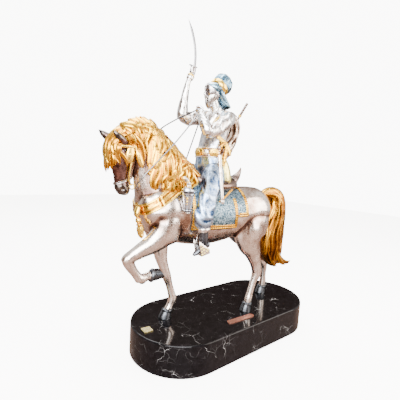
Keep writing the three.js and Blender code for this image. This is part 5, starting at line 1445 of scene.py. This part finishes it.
def marble():
    """Near-black stone; veins are the edges of warped Voronoi cells where a patchy noise lets them
    show, and flecks and a cloudy ground keep the field from being flat."""
    made, tree, shader = new_material("black_marble", 0.0, 0.09)
    shader.inputs["Specular IOR Level"].default_value = 0.16
    where = node(tree, "ShaderNodeTexCoord").outputs["Object"]
    warp = node(tree, "ShaderNodeTexNoise", Vector=where, Scale=1 / (60 * MM), Detail=4.0)
    bent = node(tree, "ShaderNodeMix", {**COLOURS, "blend_type": "LINEAR_LIGHT"}, i0=0.03, i6=where,
                i7=warp.outputs["Color"])
    patch = node(tree, "ShaderNodeTexNoise", Vector=where, Scale=1 / (30 * MM), Detail=4.0)
    veined = node(tree, "ShaderNodeMapRange", i0=patch.outputs["Fac"], i1=0.5, i2=0.64, i3=0.0, i4=1.0)
    fleck = node(tree, "ShaderNodeTexNoise", Vector=where, Scale=1 / (4 * MM), Detail=5.0, Roughness=0.75)
    pale = node(tree, "ShaderNodeMapRange", i0=fleck.outputs["Fac"], i1=0.68, i2=0.76, i3=0.0, i4=0.5)
    for cell_mm, width, strength in VEIN_NETS:
        net = node(tree, "ShaderNodeTexVoronoi", {"feature": "DISTANCE_TO_EDGE"}, Vector=bent.outputs[2],
                   Scale=1 / (cell_mm * MM))
        line = node(tree, "ShaderNodeMapRange", i0=net.outputs["Distance"], i1=0.0, i2=width, i3=strength,
                    i4=0.0)
        kept = node(tree, "ShaderNodeMath", TIMES, i0=line.outputs[0], i1=veined.outputs[0])
        pale = node(tree, "ShaderNodeMath", GREATER, i0=pale.outputs[0], i1=kept.outputs[0])
    cloud = node(tree, "ShaderNodeTexNoise", Vector=where, Scale=1 / (9 * MM), Detail=6.0, Roughness=0.7)
    ground = node(tree, "ShaderNodeValToRGB", stops=[(0.35, "#030304"), (0.7, "#121012")],
                  i0=cloud.outputs["Fac"])
    mixed = node(tree, "ShaderNodeMix", COLOURS, i0=pale.outputs[0], i6=ground.outputs[0], i7=flat("#c9c6c4"))
    tree.links.new(mixed.outputs[2], shader.inputs["Base Color"])
    smear = node(tree, "ShaderNodeTexNoise", Vector=where, Scale=1 / (25 * MM), Detail=2.0)
    rough = node(tree, "ShaderNodeMapRange", i0=smear.outputs["Fac"], i1=0.3, i2=0.7, i3=0.06, i4=0.14)
    tree.links.new(rough.outputs[0], shader.inputs["Roughness"])
    return made


def plinth_ring(inset, z, steps=96):
    """The outline drawn 'inset' inside its edge: two half circles joined by straight sides."""
    radius, half = PLINTH_WIDE / 2 - inset, PLINTH_LONG / 2 - PLINTH_WIDE / 2
    angle = np.linspace(-math.pi / 2, math.pi / 2, steps)
    right = np.stack([half + radius * np.cos(angle), radius * np.sin(angle), np.full(steps, z)], 1)
    return np.vstack([right, right * [-1, -1, 1]])


# the edge from below: how far inside the outline, and how high, with a chamfer and a rounded arris
EDGE = ((1.5, 0), (0, 1.5), (0, 2.5), (0, 56.5), (0, 57.2), (0.2, 58.2), (0.7, 59.2), (1.4, 59.8),
        (2.2, 60.0), (3.2, 60.0))
outline = placed_back(np.stack([plinth_ring(*row) for row in EDGE]))
plinth = piece("plinth_stone", *grid_mesh(outline), "plinth", "marble", marble())
sharp = plinth.modifiers.new("normals", "WEIGHTED_NORMAL")
sharp.keep_sharp = True
applied(plinth)
print("plinth:", len(plinth.data.polygons), "faces")

# %% [markdown]
# The camera stands where the photographer stood, found from the plinth's outline. The light is
# a studio's: a large softbox high on the left, a weaker one on the right, one behind and one
# overhead.
# %% Camera and lights
RIGHT, UP, BACK = (0.77951, -0.62361, 0.05899), (0.01713, 0.11536, 0.99318), (-0.62616, -0.77318, 0.10061)


def stand(made, right, up, back, at_point):
    """Links an object with its own axes along right, up and back and its origin at a point."""
    rows = [[*axes, at] for *axes, at in zip(right, up, back, at_point)]
    made.matrix_world = Matrix(rows + [[0, 0, 0, 1]])
    bpy.context.scene.collection.objects.link(made)


camera_data = bpy.data.cameras.new("camera")
camera_data.lens = 27.87
camera_data.sensor_width = 36.0
camera = bpy.data.objects.new("camera", camera_data)
stand(camera, RIGHT, UP, BACK, (-0.47303, -0.47709, 0.36056))
bpy.context.scene.camera = camera


def softbox(name, at_point, aim, size, watts, colour="#ffffff"):
    """A rectangular area light that looks at a point."""
    data = bpy.data.lights.new(name, "AREA")
    data.shape = "RECTANGLE"
    data.size, data.size_y = size
    data.energy = watts
    data.color = flat(colour)[:3]
    back = unit(np.array(at_point, float) - np.array(aim, float))
    right = unit(np.cross([0, 0, 1], back))
    stand(bpy.data.objects.new(name, data), right, np.cross(back, right), back, at_point)


middle = (-0.05, -0.01, 0.26)
softbox("key", (-1.05, -1.2, 0.95), middle, (1.5, 1.1), 108)
softbox("fill", (0.9, -1.25, 0.8), middle, (1.2, 1.2), 55, "#fff4ea")
softbox("rim", (0.15, 1.3, 1.5), middle, (0.9, 0.5), 26)
softbox("top", (-0.1, 0.1, 1.7), middle, (0.9, 0.9), 36)
print("lights:", len(bpy.data.lights))

# %% [markdown]
# The room between the lights is darker in lobes, so that the metal has something to reflect.
# The paper shows white to the camera alone, and dull brown in the metal: a painted shade that the metal's
# undersides reflect.
# %% The room and the paper
ROOM_STRENGTH, SEEN_STRENGTH, PAPER_GLOW = 1.35, 10.5, 7.0
world = bpy.data.worlds.new("studio")
world.use_nodes = True
sky = world.node_tree
seen = node(sky, "ShaderNodeSeparateXYZ", Vector=node(sky, "ShaderNodeTexCoord").outputs["Generated"])
bearing = node(sky, "ShaderNodeMath", {"operation": "ARCTAN2"}, i0=seen.outputs[1], i1=seen.outputs[0])
lobes = node(sky, "ShaderNodeMath", TIMES_PLUS, i0=bearing.outputs[0], i1=3.0, i2=0.6)
wave = node(sky, "ShaderNodeMath", {"operation": "COSINE"}, i0=lobes.outputs[0])
walls = node(sky, "ShaderNodeMapRange", i0=wave.outputs[0], i1=-0.7, i2=0.7, i3=0.0, i4=1.0)
height = node(sky, "ShaderNodeMapRange", i0=seen.outputs[2], i1=0.35, i2=0.95, i3=0.0, i4=1.0)
lit = node(sky, "ShaderNodeMath", GREATER, i0=walls.outputs[0], i1=height.outputs[0])
tone = node(sky, "ShaderNodeValToRGB", stops=[(0.0, "#4a352b"), (0.45, "#b8a496"), (1.0, "#fbfaf8")],
            i0=lit.outputs[0])
to_camera = node(sky, "ShaderNodeLightPath").outputs["Is Camera Ray"]
shown = node(sky, "ShaderNodeMix", COLOURS, i0=to_camera, i6=tone.outputs[0], i7=flat("#fbfaf8"))
power = node(sky, "ShaderNodeMix", {"data_type": "FLOAT"}, i0=to_camera, i2=ROOM_STRENGTH, i3=SEEN_STRENGTH)
background = sky.nodes["Background"]
sky.links.new(shown.outputs[2], background.inputs[0])
sky.links.new(power.outputs[0], background.inputs[1])
bpy.context.scene.world = world

bpy.ops.mesh.primitive_plane_add(size=6, location=(0, 0, -0.0005))
floor = bpy.context.object
floor.name = "floor"
paper, tree, shader, tone = mottled("pale_paper", 0.0, 0.6, 25, [(0.2, "#f6f5f3"), (0.8, "#fcfbfa")])
ray = node(tree, "ShaderNodeLightPath")
# the paper is dull brown to glossy rays alone: painted shade for the metal's undersides, which reflect it
paper_seen = node(tree, "ShaderNodeMix", COLOURS, i0=ray.outputs["Is Glossy Ray"], i6=tone,
                  i7=flat("#72594c"))
tree.links.new(paper_seen.outputs[2], shader.inputs["Base Color"])
glow = node(tree, "ShaderNodeMath", TIMES, i0=ray.outputs["Is Camera Ray"], i1=PAPER_GLOW)
shader.inputs["Emission Color"].default_value = flat("#fffefc")
tree.links.new(glow.outputs[0], shader.inputs["Emission Strength"])
floor.data.materials.append(paper)
print("room and paper done")
